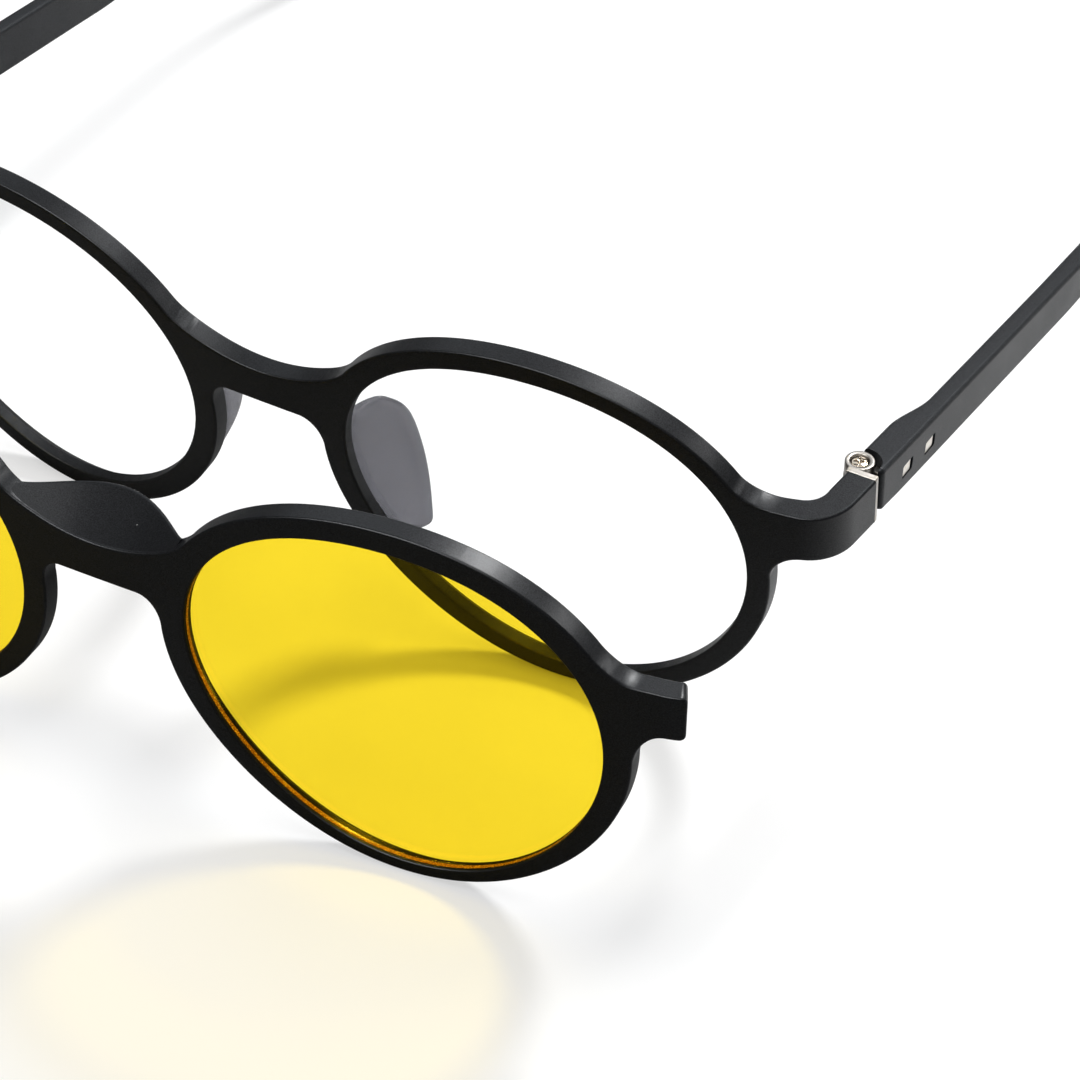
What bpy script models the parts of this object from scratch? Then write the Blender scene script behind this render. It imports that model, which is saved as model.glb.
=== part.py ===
"""Spectacle frame with a magnetic clip-on sun lens front.

Plastic front with two clear lenses, two nose pads, two metal hinges and two
temples, and a loose clip-on front with two yellow lenses, a hook over the
bridge and magnets in its end stubs.

Scene units are metres, +Z up.  The spectacles stand on the plane z = 0 on
their rim bottoms and temple tips, the front faces -Y and the temples run
along +Y.  "Right" is +X.  All dimensions below are in millimetres, measured
from the point midway between the lens centres unless noted.
"""
import bpy
import bmesh
import math
from mathutils import Vector, Matrix

MM = 0.001
ORIGIN = Vector((0.0, 50.92, -25.48))   # the scene origin
SIDES = ((1, "right"), (-1, "left"))
GAP = 0.08             # clearance between fitted pieces
NUDGE = 0.003          # keeps faces of overlapping boxes from coinciding

# Lens openings, as a radius around the lens centre.  Angle 0 points to the
# temple, 90 degrees up.
LENS_X = 34.0          # half the lens centre distance
OPEN_R = 22.96         # mean radius
OPEN_OVAL = 0.41
OPEN_TILT = -0.23
OPEN_SIDE = -0.17      # temple/nose asymmetry
OPEN_PANTO = 0.58

# Front
RIM_W = 2.70           # mean rim face width, then its variation
RIM_W_SIDE = -0.22
RIM_W_TOP = -0.17
RIM_W_OVAL = 0.08
DEPTH = 2.4            # front thickness
EASE = 0.3             # eased edges
WRAP = 0.00228         # face form: y = WRAP * x^2 / 2
TILT = math.radians(8.1)   # pantoscopic tilt, rim tops forward

BRIDGE_TOP_X = (0.0, 2.0, 4.0, 6.0, 7.6)   # points along the bridge's top edge
BRIDGE_TOP = 10.3
BRIDGE_TOP_SAG = 0.028     # rise of the top edge with x^2
BRIDGE_BOTTOM = 5.25
BRIDGE_BOTTOM_X = 4.6      # half length of its straight lower edge
RIM_TOP_JOIN = 146         # degrees, where the rim meets the bridge's top edge
RIM_BOTTOM_JOIN = -183     # degrees, where it meets the lower edge
RIM_STEP = 6.5             # degrees between rim points

END_TOP = 12.4
END_BOTTOM = 5.9
END_S = 62.3           # where the end piece starts to turn back
END_R = 5.6            # radius of the turn, outer face
END_DEPTH = 3.2        # thickness of the returned leg
END_TURN = math.radians(79.0)  # direction of the leg after the turn
END_BLEND = 4.0        # length before the turn over which the thickness grows
END_BLEND_SHARE = 0.35 # share of the growth made there
BUTT_Y = 12.45         # butt face, square to the front

# Lens seat, with distances beyond the opening and depths behind the face
LIP = 0.42             # front lip thickness
SEAT_INNER = -0.6
GROOVE = 1.2
BACK_LIP = 0.4
BACK_FLARE = 1.35      # opening at the back face
SEAT_PLAY = 0.2        # groove width over the lens thickness
LENS_Y = LIP + 0.12    # front of the lens edge
LENS_T = 0.95
LENS_EDGE = 1.0        # lens edge beyond the opening
LENS_SAG = 0.7         # rise of the lens centre over its edge

# Clip-on
CLIP_K = 0.974         # outline size against the front's
CLIP_LENS_X = LENS_X * CLIP_K
CLIP_DEPTH = 2.4
CLIP_RIM_W = 2.56
CLIP_RIM_W_TOP = 0.54
CLIP_RIM_W_OVAL = 0.37
CLIP_RIM_W_TILT = 0.14
CLIP_YAW = math.radians(2.9)
CLIP_POS = Vector((0.30, -31.6, -1.30))   # clip centre in the loose pose
CLIP_BRIDGE_DROP = 0.05
CLIP_BRIDGE_TOP = BRIDGE_TOP - CLIP_BRIDGE_DROP
CLIP_TOP = 12.3
CLIP_BOTTOM = 6.5
CLIP_END_S = 61.4
CLIP_END_R = 9.0
CLIP_END = 63.9        # end of the stub along the outline
CLIP_GROOVE = 0.9
CLIP_BACK_LIP = 0.3
CLIP_BACK_FLARE = 1.1
CLIP_LENS_EDGE = 0.75
CLIP_LENS_SAG = 0.5

# Hook over the bridge, part of the clip
HOOD_X = 10.0          # half width
HOOD_TAPER_X = 9.9     # half width at which its reach has run out
HOOD_TAPER_POWER = 1.2
HOOD_FRONT = 0.7       # front edge behind the clip's face
HOOD_LEN = 7.0         # reach behind the clip's face
HOOD_INSET = 0.3       # its ends stop this far short of the clip's back
HOOD_CLEAR_INSET = 0.35    # from this far before the clip's back it clears the bridge
HOOD_TOP = 12.7
HOOD_TOP_SAG = 0.018
HOOD_SINK = 0.06       # top of its front edge below the clip's edge
HOOD_T = 0.8
HOOD_MIN_T = 0.3

# Magnets, open pockets in the back faces
MAGNET_X = 59.6
CLIP_MAGNET_X = MAGNET_X - 0.3
MAGNET_Z = 9.1
MAGNET_R = 1.5
MAGNET_T = 1.2
MAGNET_FLOOR = 0.9     # pocket floor behind the face
CLIP_MAGNET_FLOOR = CLIP_DEPTH - 1.45
MAGNET_POCKET_END = 6.0

# Hinges
HINGE_X = 64.9
HINGE_Y = 12.8
HINGE_TOP = 14.0
HINGE_BOT = 8.2
HINGE_PIVOT_Z = 10.8
KNUCKLE_R = 1.56
KNUCKLE_H = 1.55       # top and bottom knuckles
ROOM_R = KNUCKLE_R + 0.12
TOP_KNUCKLE_Z = HINGE_TOP - KNUCKLE_H    # its underside
BOTTOM_KNUCKLE_Z = HINGE_BOT + KNUCKLE_H # its top
MID_Z = (BOTTOM_KNUCKLE_Z + 0.07, TOP_KNUCKLE_Z - 0.07)
BORE_R = 0.66
SCREW_R = 0.60
HEAD_R = 0.92
HEAD_H = 0.7
HEAD_PLAY = 0.06
HEAD_SINK = 0.12
CROSS_L = 0.62         # half length, half width and floor depth of the cross slots
CROSS_W = 0.13
CROSS_DEPTH = 0.5
PLATE_X = (64.3, 67.65)
PLATE_Y = BUTT_Y + 0.06
PLATE_T = 0.70
ANCHOR_X = (64.4, 65.9)    # anchor tail inside the end piece
ANCHOR_Y = 10.4
ANCHOR_Z = (6.5, 7.9)

# Temples, measured from the hinge axis
SPLAY = math.radians(3.4)
DROP = 0.111           # fall of the temple per unit length
TEMPLE_OUT = 2.9       # outer face
TEMPLE_TOP = 14.1
TEMPLE_H0 = 6.0
TEMPLE_H1 = 4.4
TEMPLE_T0 = 3.5
TEMPLE_T1 = 2.25
TEMPLE_T2 = 2.50
BEND_START = 88.0
BEND_R = 34.0
BEND_ANGLE = math.radians(43.95)
# Changes along the temple: from, to, amount
HEIGHT_CHANGES = ((48, 72, TEMPLE_H1 - TEMPLE_H0), (96, 122, 1.3))
THICKNESS_CHANGES = ((7.6, 15.0, TEMPLE_T1 - TEMPLE_T0), (40, 70, TEMPLE_T2 - TEMPLE_T1),
                     (90, 118, 0.35))
FLUSH_FROM = 28        # beyond this, thickness over TEMPLE_T2 grows both ways
TIP_FROM, TIP_TO = 124, 134.2
TIP_TAPER_H = 0.75     # share of height and of thickness lost over the tip
TIP_TAPER_T = 0.55
# Distances of the cross-sections along the temple
STATIONS = (-0.4, 3, 6.5, 8.5, 9.8, 11.0, 12.5, 16, 28, 45, 62,
            78, 88, 94, 100, 106, 112, 119, 126, 130, 132.6, 134.0)

# Hinge leaf inside the temple, studs beside it and the windows over them
SCOOP_R = KNUCKLE_R + 0.74
LEAF_X = (1.00, 1.70)  # from the hinge axis outwards
LEAF_START = 3.0
LEAF_END = 13.6
LEAF_Z0 = 8.3          # lower edge of the wide part
NECK_END = 4.0
STUDS = ((5.85, "front"), (11.2, "rear"))
WINDOW_L = 2.25
WINDOW_H = 1.72
STUD_DROP = 0.3        # below the middle of the temple's face
STUD_REAR_GAP = 0.25
STUD_SINK = 0.14       # below the temple's outer face

# Rear edges of the right nose pad, top to bottom: x, y, z
PAD_LENS_SIDE = ((11.5, 7.6, 4.6), (13.5, 9.5, 1.8), (14.7, 9.7, -3.2),
                 (15.5, 8.9, -8.4), (16.5, 6.6, -13.3))
PAD_NOSE_SIDE = ((8.8, 5.8, 3.8), (8.9, 8.4, 0.4), (9.6, 8.8, -4.6),
                 (11.2, 7.8, -9.4), (14.0, 5.2, -13.6))
PAD_STEPS = 11
PAD_FROM, PAD_SWEEP = 171.5, 40.0   # degrees along the rim
PAD_Y = DEPTH + 0.10   # pad base behind the rim's front face

# ---------------------------------------------------------------- materials
BLACK = (0.012, 0.012, 0.013)
METAL = dict(color=(0.72, 0.68, 0.62), metallic=1.0)
FRAME_BLACK = dict(color=BLACK, roughness=0.45)
CLIP_BLACK = dict(color=BLACK, roughness=0.42)
PAD_GREY = dict(color=(0.16, 0.16, 0.17), roughness=0.3)
CLEAR = dict(color=(0.95, 0.97, 0.97), roughness=0.03, alpha=0.2)
YELLOW = dict(color=(0.90, 0.66, 0.03), roughness=0.03, alpha=0.6)
HINGE_METAL = dict(METAL, roughness=0.3)
SCREW_METAL = dict(METAL, roughness=0.2)
MAGNET_METAL = dict(METAL, roughness=0.25)


def material(name, color, roughness, metallic=0.0, alpha=1.0):
    mat = bpy.data.materials.new(name)
    mat.use_nodes = True
    inputs = mat.node_tree.nodes["Principled BSDF"].inputs
    inputs["Base Color"].default_value = (*color, 1.0)
    inputs["Roughness"].default_value = roughness
    inputs["Metallic"].default_value = metallic
    inputs["Alpha"].default_value = alpha
    return mat


# ------------------------------------------------------------------- set up
for ob in list(bpy.data.objects):
    bpy.data.objects.remove(ob, do_unlink=True)
for coll in list(bpy.data.collections):
    bpy.data.collections.remove(coll)

PARTS = bpy.data.collections.new("clip_on_sunglasses")
CUTS = bpy.data.collections.new("cutters")
bpy.context.scene.collection.children.link(PARTS)
bpy.context.scene.collection.children.link(CUTS)

# Frames in which the pieces are drawn
UPRIGHT = Matrix.Identity(4)
FRONT_FRAME = Matrix.Rotation(TILT, 4, 'X')
CLIP_FRAME = Matrix.Translation(CLIP_POS) @ Matrix.Rotation(CLIP_YAW, 4, 'Z')


def temple_frame(side):
    """+Y along the temple, +X outwards on the right, origin on the hinge axis."""
    return (Matrix.Translation((side * HINGE_X, HINGE_Y, 0))
            @ Matrix.Rotation(-side * SPLAY, 4, 'Z'))


# ---------------------------------------------------------- object helpers
def mesh_object(name, bm, frame, collection):
    """Turn a mesh drawn in millimetres into an object placed in metres."""
    to_scene = Matrix.Scale(MM, 4) @ Matrix.Translation(-ORIGIN) @ frame
    bmesh.ops.transform(bm, matrix=to_scene, verts=bm.verts)
    bmesh.ops.recalc_face_normals(bm, faces=bm.faces)
    mesh = bpy.data.meshes.new(name)
    bm.to_mesh(mesh)
    bm.free()
    ob = bpy.data.objects.new(name, mesh)
    collection.objects.link(ob)
    return ob


def piece(name, bm, frame, look):
    ob = mesh_object(name, bm, frame, PARTS)
    ob.data.shade_smooth()
    ob.data.set_sharp_from_angle(angle=math.radians(35))
    ob.data.materials.append(material(name + "_mat", **look))
    return ob


def cut(ob, name, bm, frame, operation='DIFFERENCE'):
    """Apply a hidden helper solid to the object as a boolean modifier."""
    tool = mesh_object(name, bm, frame, CUTS)
    tool.hide_render = True
    tool.display_type = 'WIRE'
    modifier = ob.modifiers.new(name, 'BOOLEAN')
    modifier.operation = operation
    modifier.object = tool
    modifier.solver = 'EXACT'


def join(ob, name, bm, frame):
    cut(ob, name, bm, frame, 'UNION')


def hang(name, point, obs):
    """Parent the objects to an empty at the point, which becomes their origin."""
    empty = bpy.data.objects.new(name, None)
    empty.location = (point - ORIGIN) * MM
    empty.empty_display_size = 0.005
    CUTS.objects.link(empty)
    for ob in obs:
        ob.data.transform(Matrix.Translation(-empty.location))
        ob.parent = empty


# ------------------------------------------------------------ basic solids
def grow(span, by):
    return (span[0] - by, span[1] + by)


def box(xs, ys, zs, side=1):
    """Box between pairs of limits; side -1 mirrors it to the left."""
    xs = sorted(side * x for x in xs)
    bm = bmesh.new()
    bmesh.ops.create_cube(bm, size=1.0)
    for v in bm.verts:
        v.co = Vector([span[c > 0] for span, c in zip((xs, ys, zs), v.co)])
    return bm


def rod(x, y, radius, z0, z1, segments=28):
    """Upright cylinder."""
    bm = bmesh.new()
    bmesh.ops.create_cone(bm, cap_ends=True, segments=segments,
                          radius1=radius, radius2=radius, depth=z1 - z0)
    bmesh.ops.translate(bm, verts=bm.verts, vec=(x, y, (z0 + z1) / 2))
    return bm


def disc(x, z, radius, y0, y1):
    """Cylinder along Y."""
    bm = rod(0, 0, radius, -(y1 - y0) / 2, (y1 - y0) / 2)
    bmesh.ops.rotate(bm, verts=bm.verts, matrix=Matrix.Rotation(math.pi / 2, 3, 'X'))
    bmesh.ops.translate(bm, verts=bm.verts, vec=(x, (y0 + y1) / 2, z))
    return bm


def skin(bm, rings):
    """Join each closed ring of vertices to the next."""
    for a, b in zip(rings, rings[1:]):
        for i in range(len(a)):
            j = (i + 1) % len(a)
            bm.faces.new((a[i], a[j], b[j], b[i]))


def fan(bm, ring, centre):
    """Close a ring with triangles to a centre point."""
    mid = bm.verts.new(centre)
    for i in range(len(ring)):
        bm.faces.new((ring[i], ring[(i + 1) % len(ring)], mid))


# ------------------------------------------------------------ outline rules
def wrap_y(x):
    return WRAP * x * x / 2


def opening_radius(t):
    return (OPEN_R + OPEN_OVAL * math.cos(2 * t) + OPEN_TILT * math.sin(2 * t)
            + OPEN_SIDE * math.cos(3 * t) + OPEN_PANTO * math.sin(3 * t))


def front_rim_width(t):
    return (RIM_W + RIM_W_SIDE * math.cos(t) + RIM_W_TOP * math.sin(t)
            + RIM_W_OVAL * math.cos(2 * t))


def clip_rim_width(t):
    return (CLIP_RIM_W + CLIP_RIM_W_TOP * math.sin(t)
            + CLIP_RIM_W_OVAL * math.cos(2 * t) + CLIP_RIM_W_TILT * math.sin(2 * t))


def hermite(p0, d0, p1, d1, n, pull=1.0):
    """Points strictly between p0 and p1 on a curve leaving along d0, arriving along d1."""
    size = math.dist(p0, p1) * pull
    out = []
    for i in range(1, n):
        u = i / n
        h00 = 2 * u ** 3 - 3 * u ** 2 + 1
        h10 = u ** 3 - 2 * u ** 2 + u
        h01 = -2 * u ** 3 + 3 * u ** 2
        h11 = u ** 3 - u ** 2
        out.append(tuple(h00 * p0[k] + h10 * d0[k] * size + h01 * p1[k] + h11 * d1[k] * size
                         for k in (0, 1)))
    return out


def half_outline(lens_x, outer_radius, bridge_top, bridge_bottom, end_top, end_bottom, end_x,
                 top_angle, bottom_angle, top_x, bottom_x):
    """Right half of the flat pattern, clockwise from the bridge's top to its underside.

    The rim runs into the end piece between top_angle and top_x above, and
    between bottom_x and bottom_angle below; angles are in degrees.
    """
    def rim(deg):
        t = math.radians(deg)
        r = outer_radius(t)
        return (lens_x + r * math.cos(t), r * math.sin(t))

    def tangent(deg):
        t = math.radians(deg)
        return (math.sin(t), -math.cos(t))

    def arc(a, b):
        n = max(2, int(abs(b - a) / RIM_STEP))
        return [rim(a + (b - a) * i / n) for i in range(n + 1)]

    pts = [(x, bridge_top + BRIDGE_TOP_SAG * x * x) for x in BRIDGE_TOP_X]
    slope = 2 * BRIDGE_TOP_SAG * BRIDGE_TOP_X[-1]
    size = math.hypot(1, slope)
    pts += hermite(pts[-1], (1 / size, slope / size), rim(RIM_TOP_JOIN), tangent(RIM_TOP_JOIN), 5)
    pts += arc(RIM_TOP_JOIN, top_angle)
    pts += hermite(pts[-1], tangent(top_angle), (top_x, end_top), (1, 0), 6)
    pts += [(top_x, end_top), (end_x, end_top), (end_x, end_bottom), (bottom_x, end_bottom)]
    pts += hermite(pts[-1], (-1, 0), rim(bottom_angle), tangent(bottom_angle), 6)
    pts += arc(bottom_angle, RIM_BOTTOM_JOIN)
    pts += hermite(pts[-1], tangent(RIM_BOTTOM_JOIN), (BRIDGE_BOTTOM_X, bridge_bottom),
                   (-1, 0), 5, 1.15)
    pts += [(x, bridge_bottom) for x in (BRIDGE_BOTTOM_X, BRIDGE_BOTTOM_X / 2, 0.0)]
    return pts


def opening(side, lens_x, scale, n=52):
    out = []
    for i in range(n):
        t = 2 * math.pi * i / n
        r = scale * opening_radius(t)
        out.append((side * (lens_x + r * math.cos(t)), r * math.sin(t)))
    return out


def flat_plate(loops, depth):
    """Plate with eased edges from 2D loops, its thickness centred on z = 0."""
    curve = bpy.data.curves.new("outline", 'CURVE')
    curve.dimensions = '2D'
    curve.fill_mode = 'BOTH'
    curve.extrude = depth / 2 - EASE
    curve.bevel_depth = EASE
    curve.bevel_resolution = 0
    curve.offset = -EASE
    curve.resolution_u = 1
    curve.render_resolution_u = 0
    for loop in loops:
        spline = curve.splines.new('POLY')
        spline.points.add(len(loop) - 1)
        for point, (x, y) in zip(spline.points, loop):
            point.co = (x, y, 0, 1)
        spline.use_cyclic_u = True
    ob = bpy.data.objects.new("outline", curve)
    bpy.context.scene.collection.objects.link(ob)
    bpy.context.view_layer.update()
    evaluated = ob.evaluated_get(bpy.context.evaluated_depsgraph_get())
    mesh = bpy.data.meshes.new_from_object(evaluated)
    bm = bmesh.new()
    bm.from_mesh(mesh)
    bmesh.ops.remove_doubles(bm, verts=bm.verts, dist=1e-4)
    bpy.data.objects.remove(ob, do_unlink=True)
    bpy.data.curves.remove(curve)
    bpy.data.meshes.remove(mesh)
    return bm


def bend(s, z, f, start, radius, depth, end_depth):
    """Place a point of the flat pattern: s across, z up, f from 0 (front) to 1 (back)."""
    side = 1.0 if s >= 0 else -1.0
    s = abs(s)
    if s <= start:
        k = max(0.0, min(1.0, (s - (start - END_BLEND)) / END_BLEND))
        thickness = depth + (end_depth - depth) * END_BLEND_SHARE * k * k
        a = math.atan(WRAP * s) * k
        x = s
        y = wrap_y(s)
    else:
        a0 = math.atan(WRAP * start)
        a = min(END_TURN, a0 + (s - start) / radius)
        rest = max(0.0, (s - start) - (END_TURN - a0) * radius)
        x = start + radius * (math.sin(a) - math.sin(a0)) + math.cos(END_TURN) * rest
        y = wrap_y(start) + radius * (math.cos(a0) - math.cos(a)) + math.sin(END_TURN) * rest
        k = min(1.0, (a - a0) / (END_TURN - a0))
        thickness = depth + (end_depth - depth) * (END_BLEND_SHARE + (1 - END_BLEND_SHARE) * k)
    x -= math.sin(a) * thickness * f
    y += math.cos(a) * thickness * f
    return Vector((side * x, y, z))


def bent_plate(half, lens_x, scale, start, radius, depth, end_depth):
    """Face-formed plate with both lens openings and its ends turned back."""
    left = [(-x, z) for x, z in reversed(half) if x > 1e-6]
    bm = flat_plate([half + left] + [opening(side, lens_x, scale) for side, _ in SIDES], depth)
    # upright strips so that the end pieces turn smoothly
    for side in (1, -1):
        for i in range(15):
            geom = list(bm.verts) + list(bm.edges) + list(bm.faces)
            bmesh.ops.bisect_plane(bm, geom=geom, dist=1e-5,
                                   plane_co=(side * (start - 0.43 + 0.77 * i), 0, 0),
                                   plane_no=(1, 0, 0))
    for v in bm.verts:
        f = v.co.z / depth + 0.5
        v.co = bend(v.co.x, v.co.y, f, start, radius, depth, end_depth)
    bmesh.ops.triangulate(bm, faces=bm.faces)
    return bm


# ----------------------------------------------- lenses, seats and magnets
def lens_seat(side, lens_x, scale, groove, back_lip, back_flare, depth, n=46):
    """Solid around the lens axis that cuts the groove and widens the back."""
    groove_back = LIP + LENS_T + SEAT_PLAY
    # beyond the opening, depth
    profile = ((SEAT_INNER, LIP), (groove, LIP), (groove, groove_back),
               (back_lip, groove_back), (back_flare, depth + 0.1), (back_flare, depth + 2))
    bm = bmesh.new()
    rings = []
    for beyond, y in profile:
        ring = []
        for i in range(n):
            t = 2 * math.pi * (i + 0.37) / n
            r = scale * opening_radius(t) + beyond
            x = lens_x + r * math.cos(t)
            ring.append(bm.verts.new((side * x, wrap_y(x) + y, r * math.sin(t))))
        rings.append(ring)
    skin(bm, rings)
    for k in (0, -1):
        fan(bm, rings[k], (side * lens_x, wrap_y(lens_x) + profile[k][1], 0))
    return bm


def lens(side, lens_x, scale, edge, sag, n=44):
    """Dished lens: edge outline beyond the opening, centre standing forward by sag."""
    bm = bmesh.new()

    def ring(frac, y):
        dome = sag * (1 - frac * frac)
        out = []
        for i in range(n):
            t = 2 * math.pi * i / n
            r = scale * opening_radius(t) + edge
            x = lens_x + frac * r * math.cos(t)
            z = frac * r * math.sin(t)
            edge_x = lens_x + r * math.cos(t)
            base = WRAP * (lens_x * lens_x + frac * (edge_x * edge_x - lens_x * lens_x)) / 2
            out.append(bm.verts.new((side * x, base + y - dome, z)))
        return out

    faces_y = (LENS_Y, LENS_Y + LENS_T)
    front, back = [[ring(frac, y) for frac in (1.0, 0.6)] for y in faces_y]
    for rings in (front, back, [front[0], back[0]]):
        skin(bm, rings)
    for rings, y in zip((front, back), faces_y):
        fan(bm, rings[-1], (side * lens_x, wrap_y(lens_x) + y - sag, 0))
    return bm


def add_magnet(body, pocket_name, name, side, x, floor, frame):
    """Cut a pocket open at the back and make the magnet in it."""
    y = wrap_y(x)
    cut(body, pocket_name,
        disc(side * x, MAGNET_Z, MAGNET_R + GAP, y + floor, y + MAGNET_POCKET_END), frame)
    y += floor + GAP
    return piece(name, disc(side * x, MAGNET_Z, MAGNET_R, y, y + MAGNET_T), frame, MAGNET_METAL)


# -------------------------------------------------------------------- front
def build_front():
    half = half_outline(LENS_X, lambda t: opening_radius(t) + front_rim_width(t),
                        BRIDGE_TOP, BRIDGE_BOTTOM, END_TOP, END_BOTTOM, end_x=END_S + 12.5,
                        top_angle=34, bottom_angle=4, top_x=60.6, bottom_x=63.3)
    plate = bent_plate(half, LENS_X, 1.0, END_S, END_R, DEPTH, END_DEPTH)
    front = piece("front_frame", plate, FRONT_FRAME, FRAME_BLACK)
    for side, tag in SIDES:
        cut(front, "seat_" + tag,
            lens_seat(side, LENS_X, 1.0, GROOVE, BACK_LIP, BACK_FLARE, DEPTH), FRONT_FRAME)
        cut(front, "butt_" + tag,
            box((58.0, 76.0), (BUTT_Y, BUTT_Y + 20), (-5, 30), side), FRONT_FRAME)
        cut(front, "anchor_pocket_" + tag,
            box(grow(ANCHOR_X, GAP), (ANCHOR_Y - GAP, BUTT_Y + 1), grow(ANCHOR_Z, GAP), side),
            FRONT_FRAME)
        cut(front, "knuckle_room_" + tag,
            rod(side * HINGE_X, HINGE_Y, ROOM_R, HINGE_BOT - 0.15, 30), UPRIGHT)
        add_magnet(front, "magnet_pocket_" + tag, "front_magnet_" + tag,
                   side, MAGNET_X, MAGNET_FLOOR, FRONT_FRAME)
        piece("lens_" + tag, lens(side, LENS_X, 1.0, LENS_EDGE, LENS_SAG), FRONT_FRAME, CLEAR)


# ----------------------------------------------------------------- nose pads
def along(points, u):
    """Smooth path through evenly spaced control points, u from 0 to 1."""
    n = len(points) - 1
    i = min(n - 1, int(u * n))
    f = u * n - i
    p = [Vector(points[max(0, min(n, i + k))]) for k in (-1, 0, 1, 2)]
    return 0.5 * ((2 * p[1]) + (p[2] - p[0]) * f
                  + (2 * p[0] - 5 * p[1] + 4 * p[2] - p[3]) * f * f
                  + (3 * p[1] - p[0] - 3 * p[2] + p[3]) * f ** 3)


def pad_section(u):
    """Rounded wedge section: base on the rim's back, rear edge from the pad tables."""
    t = math.radians(PAD_FROM + PAD_SWEEP * u)
    base = []
    for r in (opening_radius(t) + 0.95, opening_radius(t) + front_rim_width(t) - 0.2):
        x = LENS_X + r * math.cos(t)
        base.append(Vector((x, wrap_y(x) + PAD_Y, r * math.sin(t))))
    a0, b0 = base                                             # lens side, nose side
    a1, b1 = along(PAD_LENS_SIDE, u), along(PAD_NOSE_SIDE, u)
    return [a0, a0.lerp(a1, 0.4), a0.lerp(a1, 0.82), a1.lerp(b1, 0.18),
            a1.lerp(b1, 0.5) + Vector((0, 0.45, 0)),
            b1.lerp(a1, 0.18), b0.lerp(b1, 0.82), b0.lerp(b1, 0.4), b0], (a0.y + a1.y) / 2


def nose_pad(side):
    """Wing behind the rim's nose side, with a shrunken section closing each end."""
    bm = bmesh.new()
    rows = []
    for i in range(-1, PAD_STEPS + 1):
        section, middle_y = pad_section(max(0.0, min(1.0, i / (PAD_STEPS - 1))))
        if i in (-1, PAD_STEPS):
            up = 1 if i < 0 else -1
            mid = sum(section, Vector()) / len(section)
            mid.z += 0.8 * up
            mid.y = min(mid.y, middle_y)
            section = [mid.lerp(q, 0.5) + Vector((0, 0, 0.4 * up)) for q in section]
            for q in section:
                q.y = max(q.y, wrap_y(q.x) + PAD_Y)
        rows.append([bm.verts.new((side * q.x, q.y, q.z)) for q in section])
    skin(bm, rows)
    bm.faces.new(rows[0])
    bm.faces.new(rows[-1])
    bmesh.ops.triangulate(bm, faces=bm.faces)
    return bm


# -------------------------------------------------------------------- hinges
def build_front_hinge(side, tag):
    """Plate on the butt face with its anchor tail and two knuckles."""
    def hinge_rod(radius, z0, z1, segments=28):
        return rod(side * HINGE_X, HINGE_Y, radius, z0, z1, segments)

    plate = box(PLATE_X, (PLATE_Y, PLATE_Y + PLATE_T), (END_BOTTOM - 0.15, END_TOP + 0.12), side)
    leaf = piece("front_hinge_" + tag, plate, FRONT_FRAME, HINGE_METAL)
    join(leaf, "anchor_" + tag,
         box(ANCHOR_X, (ANCHOR_Y, BUTT_Y + 0.4), ANCHOR_Z, side), FRONT_FRAME)
    join(leaf, "knuckle_top_" + tag, hinge_rod(KNUCKLE_R, TOP_KNUCKLE_Z, HINGE_TOP), UPRIGHT)
    join(leaf, "knuckle_bottom_" + tag, hinge_rod(KNUCKLE_R, HINGE_BOT, BOTTOM_KNUCKLE_Z), UPRIGHT)
    cut(leaf, "bore_" + tag, hinge_rod(BORE_R, HINGE_BOT - 1, HINGE_TOP + 1, 24), UPRIGHT)
    cut(leaf, "counterbore_" + tag,
        hinge_rod(HEAD_R + HEAD_PLAY, HINGE_TOP - HEAD_H - HEAD_PLAY, HINGE_TOP + 1), UPRIGHT)
    # room for the temple's knuckle
    cut(leaf, "mid_room_" + tag, hinge_rod(ROOM_R, BOTTOM_KNUCKLE_Z, TOP_KNUCKLE_Z), UPRIGHT)


def build_screw(side, tag):
    """Cross-slotted hinge screw with its head sunk in the top knuckle."""
    x = side * HINGE_X
    shank = rod(x, HINGE_Y, SCREW_R, HINGE_BOT + 0.1, HINGE_TOP - 0.3, 20)
    screw = piece("hinge_screw_" + tag, shank, UPRIGHT, SCREW_METAL)
    join(screw, "head_" + tag,
         rod(x, HINGE_Y, HEAD_R, HINGE_TOP - HEAD_H, HINGE_TOP - HEAD_SINK, 24), UPRIGHT)
    for k, (half_x, half_y) in enumerate(((CROSS_L, CROSS_W), (CROSS_W, CROSS_L))):
        cut(screw, f"cross_{tag}_{k}",
            box((x - half_x, x + half_x), (HINGE_Y - half_y, HINGE_Y + half_y),
                (HINGE_TOP - CROSS_DEPTH, HINGE_TOP + 1)), UPRIGHT)


# ------------------------------------------------------------------- temples
def temple_line(u):
    """y and z of the temple's top edge and its downward angle, at length u."""
    a0 = math.atan(DROP)
    if u <= BEND_START:
        return u, TEMPLE_TOP - DROP * u, a0
    arc = BEND_R * BEND_ANGLE
    a = a0 + min(u - BEND_START, arc) / BEND_R
    y = BEND_START + BEND_R * (math.sin(a) - math.sin(a0))
    z = TEMPLE_TOP - DROP * BEND_START - BEND_R * (math.cos(a0) - math.cos(a))
    rest = max(0.0, u - BEND_START - arc)
    return y + rest * math.cos(a), z - rest * math.sin(a), a


def ease(a, b, u):
    """Smooth step from 0 at a to 1 at b."""
    k = max(0.0, min(1.0, (u - a) / (b - a)))
    return k * k * (3 - 2 * k)


def changed(value, changes, u):
    for start, end, amount in changes:
        value += amount * ease(start, end, u)
    return value


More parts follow.
